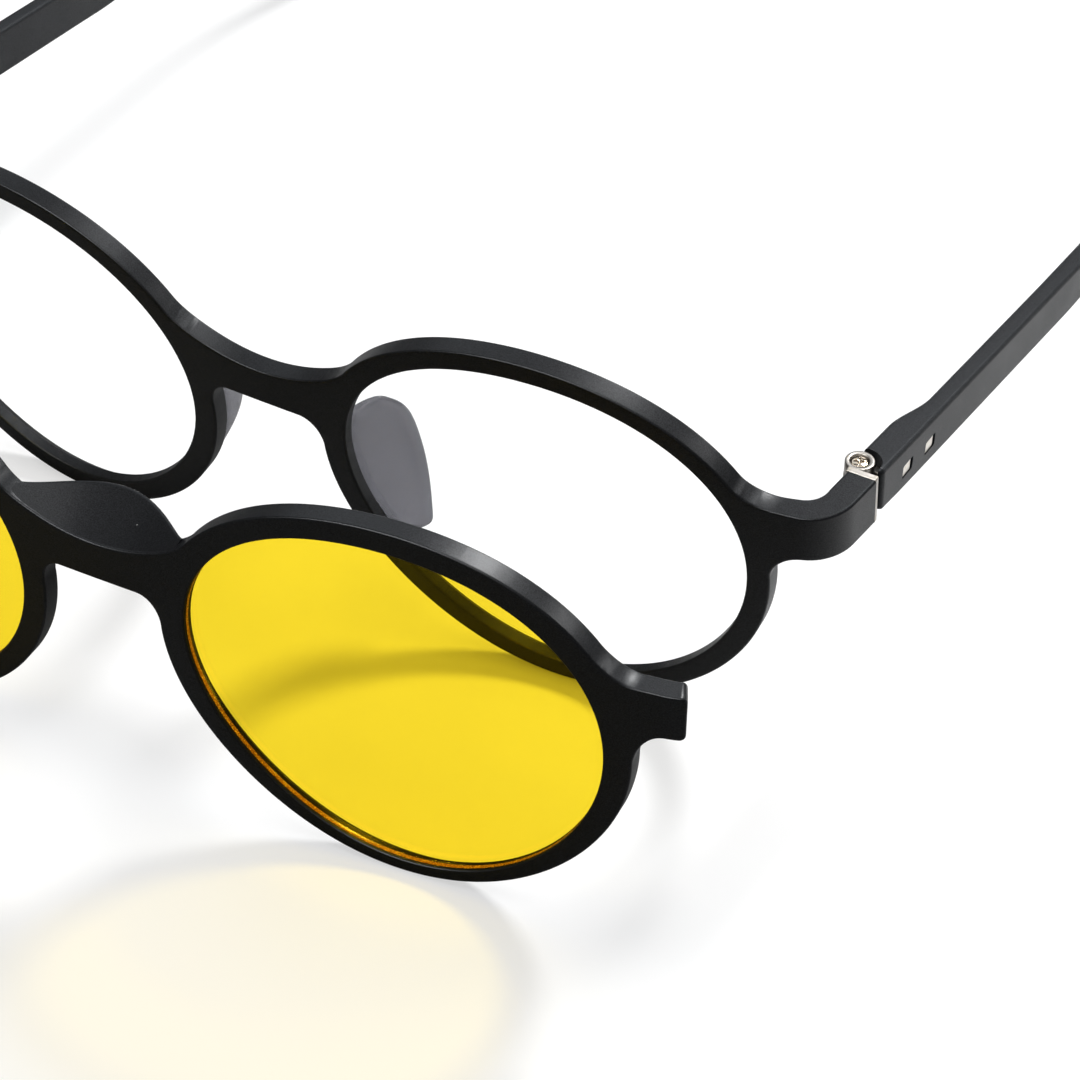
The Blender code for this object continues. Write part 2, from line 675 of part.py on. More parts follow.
def temple_body(side):
    """Loft of chamfered rectangles, bent down behind the ear and tapered at the tip."""
    bm = bmesh.new()
    rows = []
    for u in STATIONS:
        y, z_top, a = temple_line(u)
        h = changed(TEMPLE_H0, HEIGHT_CHANGES, u)
        t = changed(TEMPLE_T0, THICKNESS_CHANGES, u)
        tip = ease(TIP_FROM, TIP_TO, u)
        drop = h / 2 * tip * tip * TIP_TAPER_H
        z_top -= drop * math.cos(a)
        y -= drop * math.sin(a)
        h -= 2 * drop
        t *= 1 - TIP_TAPER_T * tip * tip
        c = min(0.5, 0.3 * t) if u > STATIONS[0] else 0.35    # chamfer
        mid = TEMPLE_OUT - (min(t, TEMPLE_T2) if u > FLUSH_FROM else t) / 2
        lo, hi = mid - t / 2, mid + t / 2
        # the butt leans with the front, sections further back are square to the temple
        lean = a * ease(0.0, 16.0, u) - 0.7 * TILT * (1.0 - ease(0.0, 5.0, u))
        section = ((hi - c, 0), (hi, c), (hi, h - c), (hi - c, h),
                   (lo + c, h), (lo, h - c), (lo, c), (lo + c, 0))
        rows.append([bm.verts.new((side * x, y - d * math.sin(lean), z_top - d * math.cos(lean)))
                     for x, d in section])
    skin(bm, rows)
    bm.faces.new(rows[0])
    bm.faces.new(rows[-1])
    return bm


def build_temple(side, tag):
    """Temple, its hinge leaf with the middle knuckle, and two studs in windows."""
    frame = temple_frame(side)
    temple = piece("temple_" + tag, temple_body(side), frame, FRAME_BLACK)
    slot_x = grow(LEAF_X, GAP)
    cut(temple, "scoop_" + tag, rod(0, 0, SCOOP_R, 0, 24, 40), frame)
    cut(temple, "neck_slot_" + tag, box(slot_x, (0.5, NECK_END), grow(MID_Z, GAP), side), frame)
    cut(temple, "leaf_slot_" + tag,
        box(grow(slot_x, -NUDGE), grow((LEAF_START, LEAF_END), GAP),
            (LEAF_Z0 - GAP, MID_Z[1] + GAP - NUDGE), side), frame)

    hinge = piece("temple_hinge_" + tag, rod(0, 0, KNUCKLE_R, *MID_Z), frame, HINGE_METAL)
    join(hinge, "leaf_neck_" + tag, box(LEAF_X, (0.9, NECK_END), MID_Z, side), frame)
    join(hinge, "leaf_" + tag,
         box(grow(LEAF_X, -NUDGE), (LEAF_START, LEAF_END), (LEAF_Z0, MID_Z[1] - NUDGE), side),
         frame)
    cut(hinge, "mid_bore_" + tag, rod(0, 0, BORE_R, 0, 24, 24), frame)

    moving = [temple, hinge]
    for k, (u, place) in enumerate(STUDS):
        z = TEMPLE_TOP - DROP * u - TEMPLE_H0 / 2 - STUD_DROP
        window_y = (u - WINDOW_L / 2, u + WINDOW_L / 2)
        window_z = (z - WINDOW_H / 2, z + WINDOW_H / 2)
        stud = box((LEAF_X[1] + GAP, TEMPLE_OUT - STUD_SINK),
                   (window_y[0] + GAP, window_y[1] - STUD_REAR_GAP), grow(window_z, -GAP), side)
        moving.append(piece(f"temple_stud_{tag}_{place}", stud, frame, HINGE_METAL))
        cut(temple, f"window_{tag}_{k}",
            box((LEAF_X[1] - 0.1, TEMPLE_OUT + 1), window_y, window_z, side), frame)
    hang("temple_axis_" + tag, Vector((side * HINGE_X, HINGE_Y, HINGE_PIVOT_Z)), moving)


# ------------------------------------------------------------------- clip-on
def hood():
    """Hook over the bridge: a curved tongue rising backwards from the clip's top edge."""
    bm = bmesh.new()
    nx, ny = 16, 6
    top, low = [], []
    shortest = CLIP_DEPTH - HOOD_INSET
    for i in range(nx + 1):
        x = -HOOD_X + 2 * HOOD_X * i / nx
        edge_z = CLIP_BRIDGE_TOP + BRIDGE_TOP_SAG * x * x
        taper = max(0.0, 1 - (x / HOOD_TAPER_X) ** 2) ** HOOD_TAPER_POWER
        back = shortest + (HOOD_LEN - shortest) * taper
        top_row, low_row = [], []
        for j in range(ny + 1):
            y = HOOD_FRONT + (back - HOOD_FRONT) * j / ny
            k = (y - HOOD_FRONT) / (HOOD_LEN - HOOD_FRONT)
            z = edge_z + k * max(0.0, HOOD_TOP + HOOD_TOP_SAG * x * x - edge_z) - HOOD_SINK
            low_z = z - HOOD_T
            if y > CLIP_DEPTH - HOOD_CLEAR_INSET:      # stay above the bridge
                low_z = min(z - HOOD_MIN_T, max(low_z, edge_z))
            top_row.append(bm.verts.new((x, wrap_y(x) + y, z)))
            low_row.append(bm.verts.new((x, wrap_y(x) + y, low_z)))
        top.append(top_row)
        low.append(low_row)
    for i in range(nx):
        for j in range(ny):
            bm.faces.new((top[i][j], top[i + 1][j], top[i + 1][j + 1], top[i][j + 1]))
            bm.faces.new((low[i][j], low[i][j + 1], low[i + 1][j + 1], low[i + 1][j]))
        bm.faces.new((top[i][0], low[i][0], low[i + 1][0], top[i + 1][0]))
        bm.faces.new((top[i][ny], top[i + 1][ny], low[i + 1][ny], low[i][ny]))
    for j in range(ny):
        bm.faces.new((top[0][j], top[0][j + 1], low[0][j + 1], low[0][j]))
        bm.faces.new((top[nx][j], low[nx][j], low[nx][j + 1], top[nx][j + 1]))
    return bm


def build_clip():
    half = half_outline(CLIP_LENS_X, lambda t: CLIP_K * opening_radius(t) + clip_rim_width(t),
                        CLIP_BRIDGE_TOP, BRIDGE_BOTTOM - CLIP_BRIDGE_DROP,
                        CLIP_TOP, CLIP_BOTTOM, end_x=CLIP_END,
                        top_angle=36, bottom_angle=3, top_x=59.0, bottom_x=62.0)
    plate = bent_plate(half, CLIP_LENS_X, CLIP_K, CLIP_END_S, CLIP_END_R, CLIP_DEPTH, CLIP_DEPTH)
    clip = piece("clip_frame", plate, CLIP_FRAME, CLIP_BLACK)
    join(clip, "hood", hood(), CLIP_FRAME)
    moving = [clip]
    for side, tag in SIDES:
        cut(clip, "clip_seat_" + tag,
            lens_seat(side, CLIP_LENS_X, CLIP_K, CLIP_GROOVE, CLIP_BACK_LIP, CLIP_BACK_FLARE,
                      CLIP_DEPTH), CLIP_FRAME)
        moving.append(add_magnet(clip, "clip_magnet_pocket_" + tag, "clip_magnet_" + tag,
                                 side, CLIP_MAGNET_X, CLIP_MAGNET_FLOOR, CLIP_FRAME))
        moving.append(piece("clip_lens_" + tag,
                            lens(side, CLIP_LENS_X, CLIP_K, CLIP_LENS_EDGE, CLIP_LENS_SAG),
                            CLIP_FRAME, YELLOW))
    hang("clip_carrier", CLIP_POS, moving)


build_front()
for side, tag in SIDES:
    piece("nose_pad_" + tag, nose_pad(side), FRONT_FRAME, PAD_GREY)
    build_front_hinge(side, tag)
    build_screw(side, tag)
    build_temple(side, tag)
build_clip()
bpy.context.view_layer.update()
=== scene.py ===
# Black plastic spectacles with clear lenses, smoke nose pads and splayed temples, and a
# magnetic clip-on with yellow lenses lying just in front of them on a pale floor.
# Shapes are drawn in millimetres: X across the face, -Y the way it looks, +Y back along the
# temples, +Z up, z = 0 through the lens centres. add_shape takes them to the scene in metres.
import math

import bmesh
import bpy
from mathutils import Matrix, Vector


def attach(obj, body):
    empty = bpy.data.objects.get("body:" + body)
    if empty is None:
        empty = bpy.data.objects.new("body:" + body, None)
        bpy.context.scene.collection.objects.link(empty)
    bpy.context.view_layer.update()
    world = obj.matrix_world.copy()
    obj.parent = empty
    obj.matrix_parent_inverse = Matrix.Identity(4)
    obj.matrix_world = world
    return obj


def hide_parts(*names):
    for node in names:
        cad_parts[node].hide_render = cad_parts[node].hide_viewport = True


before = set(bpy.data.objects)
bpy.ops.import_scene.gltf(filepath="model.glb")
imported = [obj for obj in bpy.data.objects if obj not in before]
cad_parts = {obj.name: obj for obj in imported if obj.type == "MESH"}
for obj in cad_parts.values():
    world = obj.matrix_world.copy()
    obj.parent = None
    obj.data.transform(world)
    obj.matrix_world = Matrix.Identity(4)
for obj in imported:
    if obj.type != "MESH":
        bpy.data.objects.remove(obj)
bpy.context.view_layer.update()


MM = 0.001
SIDES = ((1, "right"), (-1, "left"))      # +X is called right

# ------------------------------------------------------------- dimensions, mm
ORIGIN = Vector((0.0, 50.92, -25.48))     # scene origin, in drawing coordinates
LENS_X = 34.0                             # lens centre from the middle
WRAP = 0.00228                            # curvature of the front across the face
TILT = math.radians(8.1)                  # the top of the front leans forwards
LENS_LIP, LENS_T = 0.42, 0.95             # rim in front of a lens, lens thickness
SEAT_GAP = 0.02                           # play behind a lens

# front
DEPTH, EDGE = 2.4, 0.25
BRIDGE_TOP, BRIDGE_BOTTOM = 10.3, 5.25
BRIDGE_SAG = 0.028                        # the bridge top rises by this times x squared
END_TOP, END_BOTTOM = 12.4, 5.9
END_START, END_R, END_DEPTH = 62.3, 5.6, 3.2     # where the end pieces turn back
BUTT_Y = 12.45                            # rear faces of the end pieces

# clip-on
CLIP_SCALE = 0.974                        # its lenses against those of the front
CLIP_LENS_X = LENS_X * CLIP_SCALE
CLIP_DEPTH, CLIP_EDGE = 2.4, 0.24
CLIP_YAW = math.radians(2.9)
CLIP_POS = Vector((0.30, -31.6, -1.30))
CLIP_BRIDGE_TOP, CLIP_BRIDGE_BOTTOM = BRIDGE_TOP - 0.05, BRIDGE_BOTTOM - 0.05
CLIP_TOP, CLIP_BOTTOM, CLIP_END = 12.3, 6.5, 63.9
CLIP_END_START, CLIP_END_R = 61.4, 9.0

# tongue over the bridge of the clip-on
HOOK_HALF, HOOK_LEN, HOOK_TOP, HOOK_T = 9.9, 7.0, 12.7, 0.8
HOOK_FRONT, HOOK_ROUND, HOOK_EDGE = 0.30, 0.5, 0.30
HOOK_SIDE = CLIP_DEPTH - 0.35             # how far back it reaches at its ends

# magnets; floors are the bottoms of their pockets behind the front surface
MAGNET_X, MAGNET_Z, MAGNET_R, MAGNET_T = 59.6, 9.1, 1.5, 1.2
MAGNET_GAP = 0.08
MAGNET_FLOOR = 0.9
CLIP_MAGNET_X, CLIP_MAGNET_FLOOR = MAGNET_X - 0.3, CLIP_DEPTH - 1.45

# hinges
HINGE_X, HINGE_Y, HINGE_TOP, HINGE_BOTTOM = 64.9, 12.8, 14.0, 8.2
KNUCKLE_R, BORE_R, SCREW_R, HEAD_R = 1.56, 0.66, 0.60, 0.92
KNUCKLE_EDGE, MID_KNUCKLE_EDGE = 0.12, 0.10
RING_H, RING_GAP = 1.55, 0.07             # upper and lower rings, gap to the middle one
UPPER_Z, LOWER_Z = HINGE_TOP - RING_H, HINGE_BOTTOM + RING_H
MID_BOTTOM, MID_TOP = LOWER_Z + RING_GAP, UPPER_Z - RING_GAP
HEAD_SEAT = HINGE_TOP - 0.62
PLATE_X, PLATE_T = (64.3, 67.65), 0.70

# temples, measured from the hinge axis
SPLAY = math.radians(3.4)
TEMPLE_DROP = 0.111                       # fall per length of the straight part
TEMPLE_OUT, TEMPLE_TOP = 2.9, 14.1
TEMPLE_H, EAR_H = 6.0, 4.4
BUTT_T, TEMPLE_T, EAR_T = 3.5, 2.25, 2.50
BEND_START, BEND_R, BEND_ANGLE = 88.0, 34.0, math.radians(43.95)
TEMPLE_END = 134.0
STUDS, STUD_DROP = (5.85, 11.2), 0.3
WINDOW_L, WINDOW_H = 2.25, 1.72
LEAF_X = (1.00, 1.70)

IDENTITY = Matrix.Identity(4)
FRONT_MATRIX = Matrix.Rotation(TILT, 4, 'X')
CLIP_MATRIX = Matrix.Translation(CLIP_POS) @ Matrix.Rotation(CLIP_YAW, 4, 'Z')


# --------------------------------------------------------------- node helpers
def node(tree, kind, inputs=None, **properties):
    """Add a node; each input takes a value or the socket that feeds it."""
    new = tree.nodes.new('ShaderNode' + kind)
    for key, value in properties.items():
        setattr(new, key, value)
    for key, value in (inputs or {}).items():
        if isinstance(value, bpy.types.NodeSocket):
            tree.links.new(value, new.inputs[key])
        else:
            new.inputs[key].default_value = value
    return new


def new_material(name):
    """Empty material: itself, its tree and the surface input of its output."""
    material = bpy.data.materials.new(name)
    material.use_nodes = True
    tree = material.node_tree
    tree.nodes.clear()
    return material, tree, node(tree, 'OutputMaterial').inputs[0]


def object_position(tree):
    return node(tree, 'TexCoord').outputs['Object']


def rgba(colour, gain=1.0):
    return (*[c * gain for c in colour], 1)


def grey(value):
    return (value, value, value)


def ramp(tree, value, stops):
    """Colour ramp from (position, colour) stops."""
    new = node(tree, 'ValToRGB', {0: value})
    elements = new.color_ramp.elements
    while len(elements) < len(stops):
        elements.new(0.5)
    for element, (position, colour) in zip(elements, stops):
        element.position = position
        element.color = rgba(colour)
    return new.outputs[0]


def noise(tree, vector, scale, detail=2.0, rough=0.5):
    return node(tree, 'TexNoise', {'Scale': scale, 'Detail': detail, 'Roughness': rough,
                                   'Vector': vector}).outputs[0]


def math_node(tree, operation, *values):
    return node(tree, 'Math', dict(enumerate(values)), operation=operation).outputs[0]


def multiply_add(tree, value, by, plus):
    return math_node(tree, 'MULTIPLY_ADD', value, by, plus)


def mix_colour(tree, factor, first, second):
    # 6 and 7 are the colour inputs of the mix node, 2 its colour output
    return node(tree, 'Mix', {0: factor, 6: first, 7: second}, data_type='RGBA').outputs[2]


def mix_shader(tree, factor, first, second):
    inputs = {0: factor, 1: first.outputs[0], 2: second.outputs[0]}
    return node(tree, 'MixShader', inputs)


def map_range(tree, value, source, target, **properties):
    return node(tree, 'MapRange', {
        'From Min': source[0], 'From Max': source[1],
        'To Min': target[0], 'To Max': target[1], 'Value': value}, **properties).outputs[0]


def bump(tree, height, strength, distance):
    return node(tree, 'Bump', {'Strength': strength, 'Distance': distance,
                               'Height': height}).outputs[0]


# ------------------------------------------------------------------ materials
def dust_amount(tree, position):
    """Sparse tiny dots: the middles of a few Voronoi cells."""
    cells = node(tree, 'TexVoronoi', {'Scale': 260.0, 'Vector': position})
    dot = ramp(tree, cells.outputs['Distance'],
               ((0.0, grey(1)), (0.014, grey(0.7)), (0.023, grey(0))))
    pick = node(tree, 'SeparateColor', {0: cells.outputs['Color']})
    gate = math_node(tree, 'GREATER_THAN', pick.outputs[0], 0.965)
    return math_node(tree, 'MULTIPLY', dot, gate)


def black_plastic(name, base=(0.0030, 0.0031, 0.0038), rough=0.36, specular=0.12,
                  grain=0.42, coat=0.16):
    """Moulded satin black: fine frosted grain, slow sheen changes, a few specks of dust."""
    material, tree, surface = new_material(name)
    position = object_position(tree)
    slow = noise(tree, position, scale=140.0, detail=3.0)
    fine = noise(tree, position, scale=8200.0, rough=0.6)
    # slightly lighter where the grain catches
    catch = ramp(tree, fine, ((0.35, grey(0)), (0.72, grey(1))))
    colour = mix_colour(tree, catch, rgba(base, 0.6), rgba(base, 2.0))
    colour = mix_colour(tree, dust_amount(tree, position), colour, rgba((0.35, 0.35, 0.34)))
    # slow handling marks, then a fine sparkle
    handled = multiply_add(tree, slow, by=0.14, plus=rough - 0.07)
    shader = node(tree, 'BsdfPrincipled', {
        'Base Color': colour,
        'Roughness': multiply_add(tree, fine, by=0.16, plus=handled),
        'Specular IOR Level': map_range(tree, fine, source=(0.35, 0.68),
                                        target=(specular * 0.75, specular * 1.45)),
        'Specular Tint': (0.90, 0.95, 1.0, 1),
        'Coat Weight': coat,
        'Coat Roughness': 0.27,
        'Coat IOR': 1.42,
        'Normal': bump(tree, fine, strength=grain, distance=0.00004)})
    tree.links.new(shader.outputs[0], surface)
    return material


def metal(name, base=(0.235, 0.222, 0.205), rough=0.32, brush=(900.0, 900.0, 12000.0),
          strength=0.25):
    """Metal with drawn streaks and warm tarnish in places; brush is the streak density."""
    material, tree, surface = new_material(name)
    position = object_position(tree)
    stretched = node(tree, 'Mapping', {'Scale': brush, 'Vector': position}).outputs[0]
    streak = noise(tree, stretched, scale=1.0, detail=3.0)
    blot = noise(tree, position, scale=900.0, detail=3.0)
    tarnish = (base[0] * 0.80, base[1] * 0.74, base[2] * 0.62)
    tarnished = ramp(tree, blot, ((0.52, grey(0)), (0.75, grey(1))))
    shader = node(tree, 'BsdfPrincipled', {
        'Metallic': 1.0,
        'Base Color': mix_colour(tree, tarnished, rgba(base), rgba(tarnish)),
        'Roughness': multiply_add(tree, streak, by=0.22, plus=rough - 0.08),
        'Normal': bump(tree, streak, strength=strength, distance=0.00004)})
    tree.links.new(shader.outputs[0], surface)
    return material


def lens_material(name, through, edge, gloss, glow=0.0):
    """Thin polished lens: coloured see-through with a Fresnel reflection, faint smears."""
    material, tree, surface = new_material(name)
    position = object_position(tree)
    smear = noise(tree, position, scale=90.0, detail=4.0, rough=0.55)
    smeared = ramp(tree, smear, ((0.45, grey(0)), (0.75, grey(1))))
    tint = mix_colour(tree, smeared, rgba(through), rgba(through, 0.992))
    clear = node(tree, 'BsdfTransparent', {'Color': tint})
    glossy = node(tree, 'BsdfGlossy', {'Roughness': multiply_add(tree, smear, by=0.04, plus=0.02)})
    fresnel = node(tree, 'Fresnel', {'IOR': 1.45}).outputs[0]
    reflection = math_node(tree, 'MULTIPLY', fresnel, gloss)
    face = mix_shader(tree, reflection, clear, glossy)
    # where glow is set, this edge is painted: an amber colour with a painted glow and painted
    # glints
    # the edge of the lens, marked per vertex by the "rim" attribute
    mark = node(tree, 'Attribute', attribute_name='rim').outputs['Fac']
    rim = node(tree, 'BsdfPrincipled', {'Base Color': rgba(edge), 'Roughness': 0.25})
    if glow:
        # ground edge, painted as an amber line with a painted glow and painted glints: emission
        # stands in for light piped through the lens
        glint_noise = noise(tree, position, scale=7000.0, detail=3.0, rough=0.7)
        amber = ramp(tree, glint_noise, ((0.38, (0.10, 0.028, 0.001)),
                                  (0.58, (0.42, 0.15, 0.006)),
                                  (0.70, (1.0, 0.66, 0.12))))
        tree.links.new(amber, rim.inputs['Base Color'])
        tree.links.new(amber, rim.inputs['Emission Color'])
        rim.inputs['Emission Strength'].default_value = glow
    tree.links.new(mix_shader(tree, mark, face, rim).outputs[0], surface)
    return material


def pad_material(name):
    """Smoke grey moulded pad: semi-gloss, lets some light through, fine grain."""
    material, tree, surface = new_material(name)
    position = object_position(tree)
    fine = noise(tree, position, scale=4200.0)
    slow = noise(tree, position, scale=260.0, detail=3.0)
    smoke = node(tree, 'BsdfPrincipled', {
        'Base Color': mix_colour(tree, slow, rgba((0.040, 0.040, 0.044)),
                                 rgba((0.075, 0.075, 0.080))),
        'Roughness': multiply_add(tree, fine, by=0.12, plus=0.14),
        'Normal': bump(tree, fine, strength=0.06, distance=0.00002)})
    clear = node(tree, 'BsdfTransparent', {'Color': (0.62, 0.62, 0.66, 1)})
    facing = node(tree, 'LayerWeight', {'Blend': 0.35}).outputs['Facing']
    density = multiply_add(tree, facing, by=0.25, plus=0.44)
    tree.links.new(mix_shader(tree, density, clear, smoke).outputs[0], surface)
    return material


BLACK = black_plastic("satin_black")
BLACK_CLIP = black_plastic("satin_black_clip", rough=0.34, grain=0.34, coat=0.20)
BLACK_TEMPLE = black_plastic("satin_black_temple", base=(0.0042, 0.0044, 0.0056), rough=0.42,
                             specular=0.15, grain=0.5, coat=0.10)
NICKEL = metal("nickel")
NICKEL_PLATE = metal("nickel_plate", base=(0.30, 0.283, 0.26), rough=0.34,
                     brush=(9000.0, 900.0, 900.0))
SCREW = metal("screw_steel", base=(0.42, 0.37, 0.31), rough=0.13, strength=0.6)
STUD_METAL = metal("stud_nickel", base=(0.62, 0.59, 0.545), rough=0.38,
                   brush=(900.0, 900.0, 7000.0))
CLEAR = lens_material("clear_lens", through=(0.998, 0.999, 0.998), edge=(0.02, 0.02, 0.02),
                      gloss=0.06)
# the yellow lens's edge is painted amber, and glow gives it a painted glow with painted glints
YELLOW = lens_material("yellow_lens", through=(0.980, 0.846, 0.165), edge=(0.80, 0.26, 0.012),
                       gloss=0.14, glow=0.26)
PAD = pad_material("smoke_pad")


# --------------------------------------------------------------- part helpers
def add_shape(name, shape, matrix):
    """Object from a shape drawn in millimetres, moved by the matrix and into the scene."""
    to_scene = Matrix.Scale(MM, 4) @ Matrix.Translation(-ORIGIN) @ matrix
    bmesh.ops.transform(shape, matrix=to_scene, verts=shape.verts)
    bmesh.ops.recalc_face_normals(shape, faces=shape.faces)
    mesh = bpy.data.meshes.new(name)
    shape.to_mesh(mesh)
    shape.free()
    part = bpy.data.objects.new(name, mesh)
    bpy.context.scene.collection.objects.link(part)
    return part


def shade(part, sharp):
    part.data.shade_smooth()
    part.data.set_sharp_from_angle(angle=math.radians(sharp))


def make(name, shape, matrix, material, sharp):
    part = add_shape(name, shape, matrix)
    shade(part, sharp)
    part.data.materials.append(material)
    return part


def apply_modifiers(part):
    graph = bpy.context.evaluated_depsgraph_get()
    graph.update()
    mesh = bpy.data.meshes.new_from_object(part.evaluated_get(graph))
    old = part.data
    part.modifiers.clear()
    part.data = mesh
    bpy.data.meshes.remove(old)


def cut(part, shapes, matrix):
    """Cut the part with closed shapes."""
    tools = []
    for i, shape in enumerate(shapes):
        tool = add_shape("tool_%d" % i, shape, matrix)
        tools.append(tool)
        modifier = part.modifiers.new("cut", 'BOOLEAN')
        modifier.operation = 'DIFFERENCE'
        modifier.object = tool
        modifier.solver = 'EXACT'
    apply_modifiers(part)
    for tool in tools:
        bpy.data.objects.remove(tool, do_unlink=True)


def soften(part, width, segments=3, angle=40.0):
    """Round the sharp edges."""
    modifier = part.modifiers.new("round", 'BEVEL')
    modifier.width = width * MM
    modifier.segments = segments
    modifier.limit_method = 'ANGLE'
    modifier.angle_limit = math.radians(angle)
    modifier.use_clamp_overlap = True
    apply_modifiers(part)


def even_normals(part, sharp):
    shade(part, sharp)
    modifier = part.modifiers.new("normals", 'WEIGHTED_NORMAL')
    modifier.keep_sharp = True
    modifier.weight = 80


def register(part, body, slot, *replaced):
    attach(part, body)
    if replaced:
        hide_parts(*replaced)


def add_part(name, shape, matrix, material, body, slot, replaced=(), cuts=(), bevel=None,
             sharp=38.0):
    """Make, cut, round, shade and register a part; bevel holds the arguments of soften."""
    part = make(name, shape, matrix, material, sharp)
    if cuts:
        cut(part, cuts, matrix)
    if bevel:
        soften(part, **bevel)
    even_normals(part, sharp)
    register(part, body, slot, *replaced)


# -------------------------------------------------------------- solid helpers
def join_rings(shape, first, second):
    """Band of faces between two rings of vertices; a ring of one vertex makes a fan."""
    count = max(len(first), len(second))
    for i in range(count):
        j = (i + 1) % count
        if len(first) == 1:
            shape.faces.new((first[0], second[i], second[j]))
        elif len(second) == 1:
            shape.faces.new((first[i], first[j], second[0]))
        else:
            shape.faces.new((first[i], first[j], second[j], second[i]))


def loft(rows):
    """Closed solid through rows of points, with flat ends."""
    shape = bmesh.new()
    rings = [[shape.verts.new(point) for point in row] for row in rows]
    for first, second in zip(rings, rings[1:]):
        join_rings(shape, first, second)
    shape.faces.new(rings[0])
    shape.faces.new(rings[-1])
    return shape


def turned(center, profile, segments=72):
    """Closed solid of revolution about an upright axis, from (radius, height) pairs."""
    shape = bmesh.new()
    rings = []
    for radius, z in profile:
        if radius < 1e-6:
            rings.append([shape.verts.new((center[0], center[1], z))])
            continue
        ring = []
        for i in range(segments):
            angle = 2 * math.pi * i / segments
            ring.append(shape.verts.new((center[0] + radius * math.cos(angle),
                                         center[1] + radius * math.sin(angle), z)))
        rings.append(ring)
    pairs = list(zip(rings, rings[1:]))
    if profile[0][0] > 1e-6 and profile[-1][0] > 1e-6:
        pairs.append((rings[-1], rings[0]))
    for first, second in pairs:
        join_rings(shape, first, second)
    return shape


def rod(center, radius, bottom, top, segments):
    """Upright cylinder."""
    shape = bmesh.new()
    bmesh.ops.create_cone(shape, cap_ends=True, segments=segments, radius1=radius,
                          radius2=radius, depth=top - bottom)
    bmesh.ops.translate(shape, verts=shape.verts, vec=(*center, (bottom + top) / 2))
    return shape


def disc(x, z, radius, front, back):
    """Cylinder along Y."""
    shape = rod((0, 0), radius, -(back - front) / 2, (back - front) / 2, segments=64)
    bmesh.ops.rotate(shape, verts=shape.verts, matrix=Matrix.Rotation(math.pi / 2, 3, 'X'))
    bmesh.ops.translate(shape, verts=shape.verts, vec=(x, (front + back) / 2, z))
    return shape


def box(*spans):
    """Box from its X, Y and Z spans."""
    spans = [sorted(span) for span in spans]
    shape = bmesh.new()
    bmesh.ops.create_cube(shape, size=1.0)
    for vert in shape.verts:
        vert.co = Vector([span[0] if c < 0 else span[1] for c, span in zip(vert.co, spans)])
    return shape


def rounded_box(span_x, center_y, center_z, half_y, half_z, radius, steps=6):
    """Rectangular prism along X with rounded corners."""
    rows = []
    for x in sorted(span_x):
        row = []
        for sign_y, sign_z, start in ((1, 1, 0), (-1, 1, 90), (-1, -1, 180), (1, -1, 270)):
            for i in range(steps + 1):
                angle = math.radians(start + 90.0 * i / steps)
                row.append((
                    x,
                    center_y + sign_y * (half_y - radius) + radius * math.cos(angle),
                    center_z + sign_z * (half_z - radius) + radius * math.sin(angle)))
        rows.append(row)
    return loft(rows)


# --------------------------------------------------------------- rim outlines
# Angles run round the +X lens centre from +X towards +Z.
BRIDGE_HALF, BRIDGE_FLAT = 7.6, 4.6       # half widths of the bridge's top and flat bottom
RIM_TOP_START, RIM_BOTTOM_END = 146, -183     # degrees, where the rim leaves the bridge
ARC_STEP = 1.5                            # degrees


def wrap_y(x):
    return WRAP * x * x / 2


def opening_radius(angle):
    return (22.96 + 0.41 * math.cos(2 * angle) - 0.23 * math.sin(2 * angle)
            - 0.17 * math.cos(3 * angle) + 0.58 * math.sin(3 * angle))


def front_width(angle):
    return 2.70 - 0.22 * math.cos(angle) - 0.17 * math.sin(angle) + 0.08 * math.cos(2 * angle)


def clip_width(angle):
    return 2.56 + 0.54 * math.sin(angle) + 0.37 * math.cos(2 * angle) + 0.14 * math.sin(2 * angle)


def ease(start, end, value):
    k = max(0.0, min(1.0, (value - start) / (end - start)))
    return k * k * (3 - 2 * k)


def hermite(start, start_dir, end, end_dir, count, pull=1.0):
    """Points strictly between two ends, on a curve with the given directions."""
    size = math.dist(start, end) * pull
    points = []
    for i in range(1, count):
        u = i / count
        from_start = 2 * u ** 3 - 3 * u ** 2 + 1
        along_start = u ** 3 - 2 * u ** 2 + u
        from_end = -2 * u ** 3 + 3 * u ** 2
        along_end = u ** 3 - u ** 2
        points.append(tuple(from_start * start[k] + along_start * start_dir[k] * size
                            + from_end * end[k] + along_end * end_dir[k] * size
                            for k in (0, 1)))
    return points


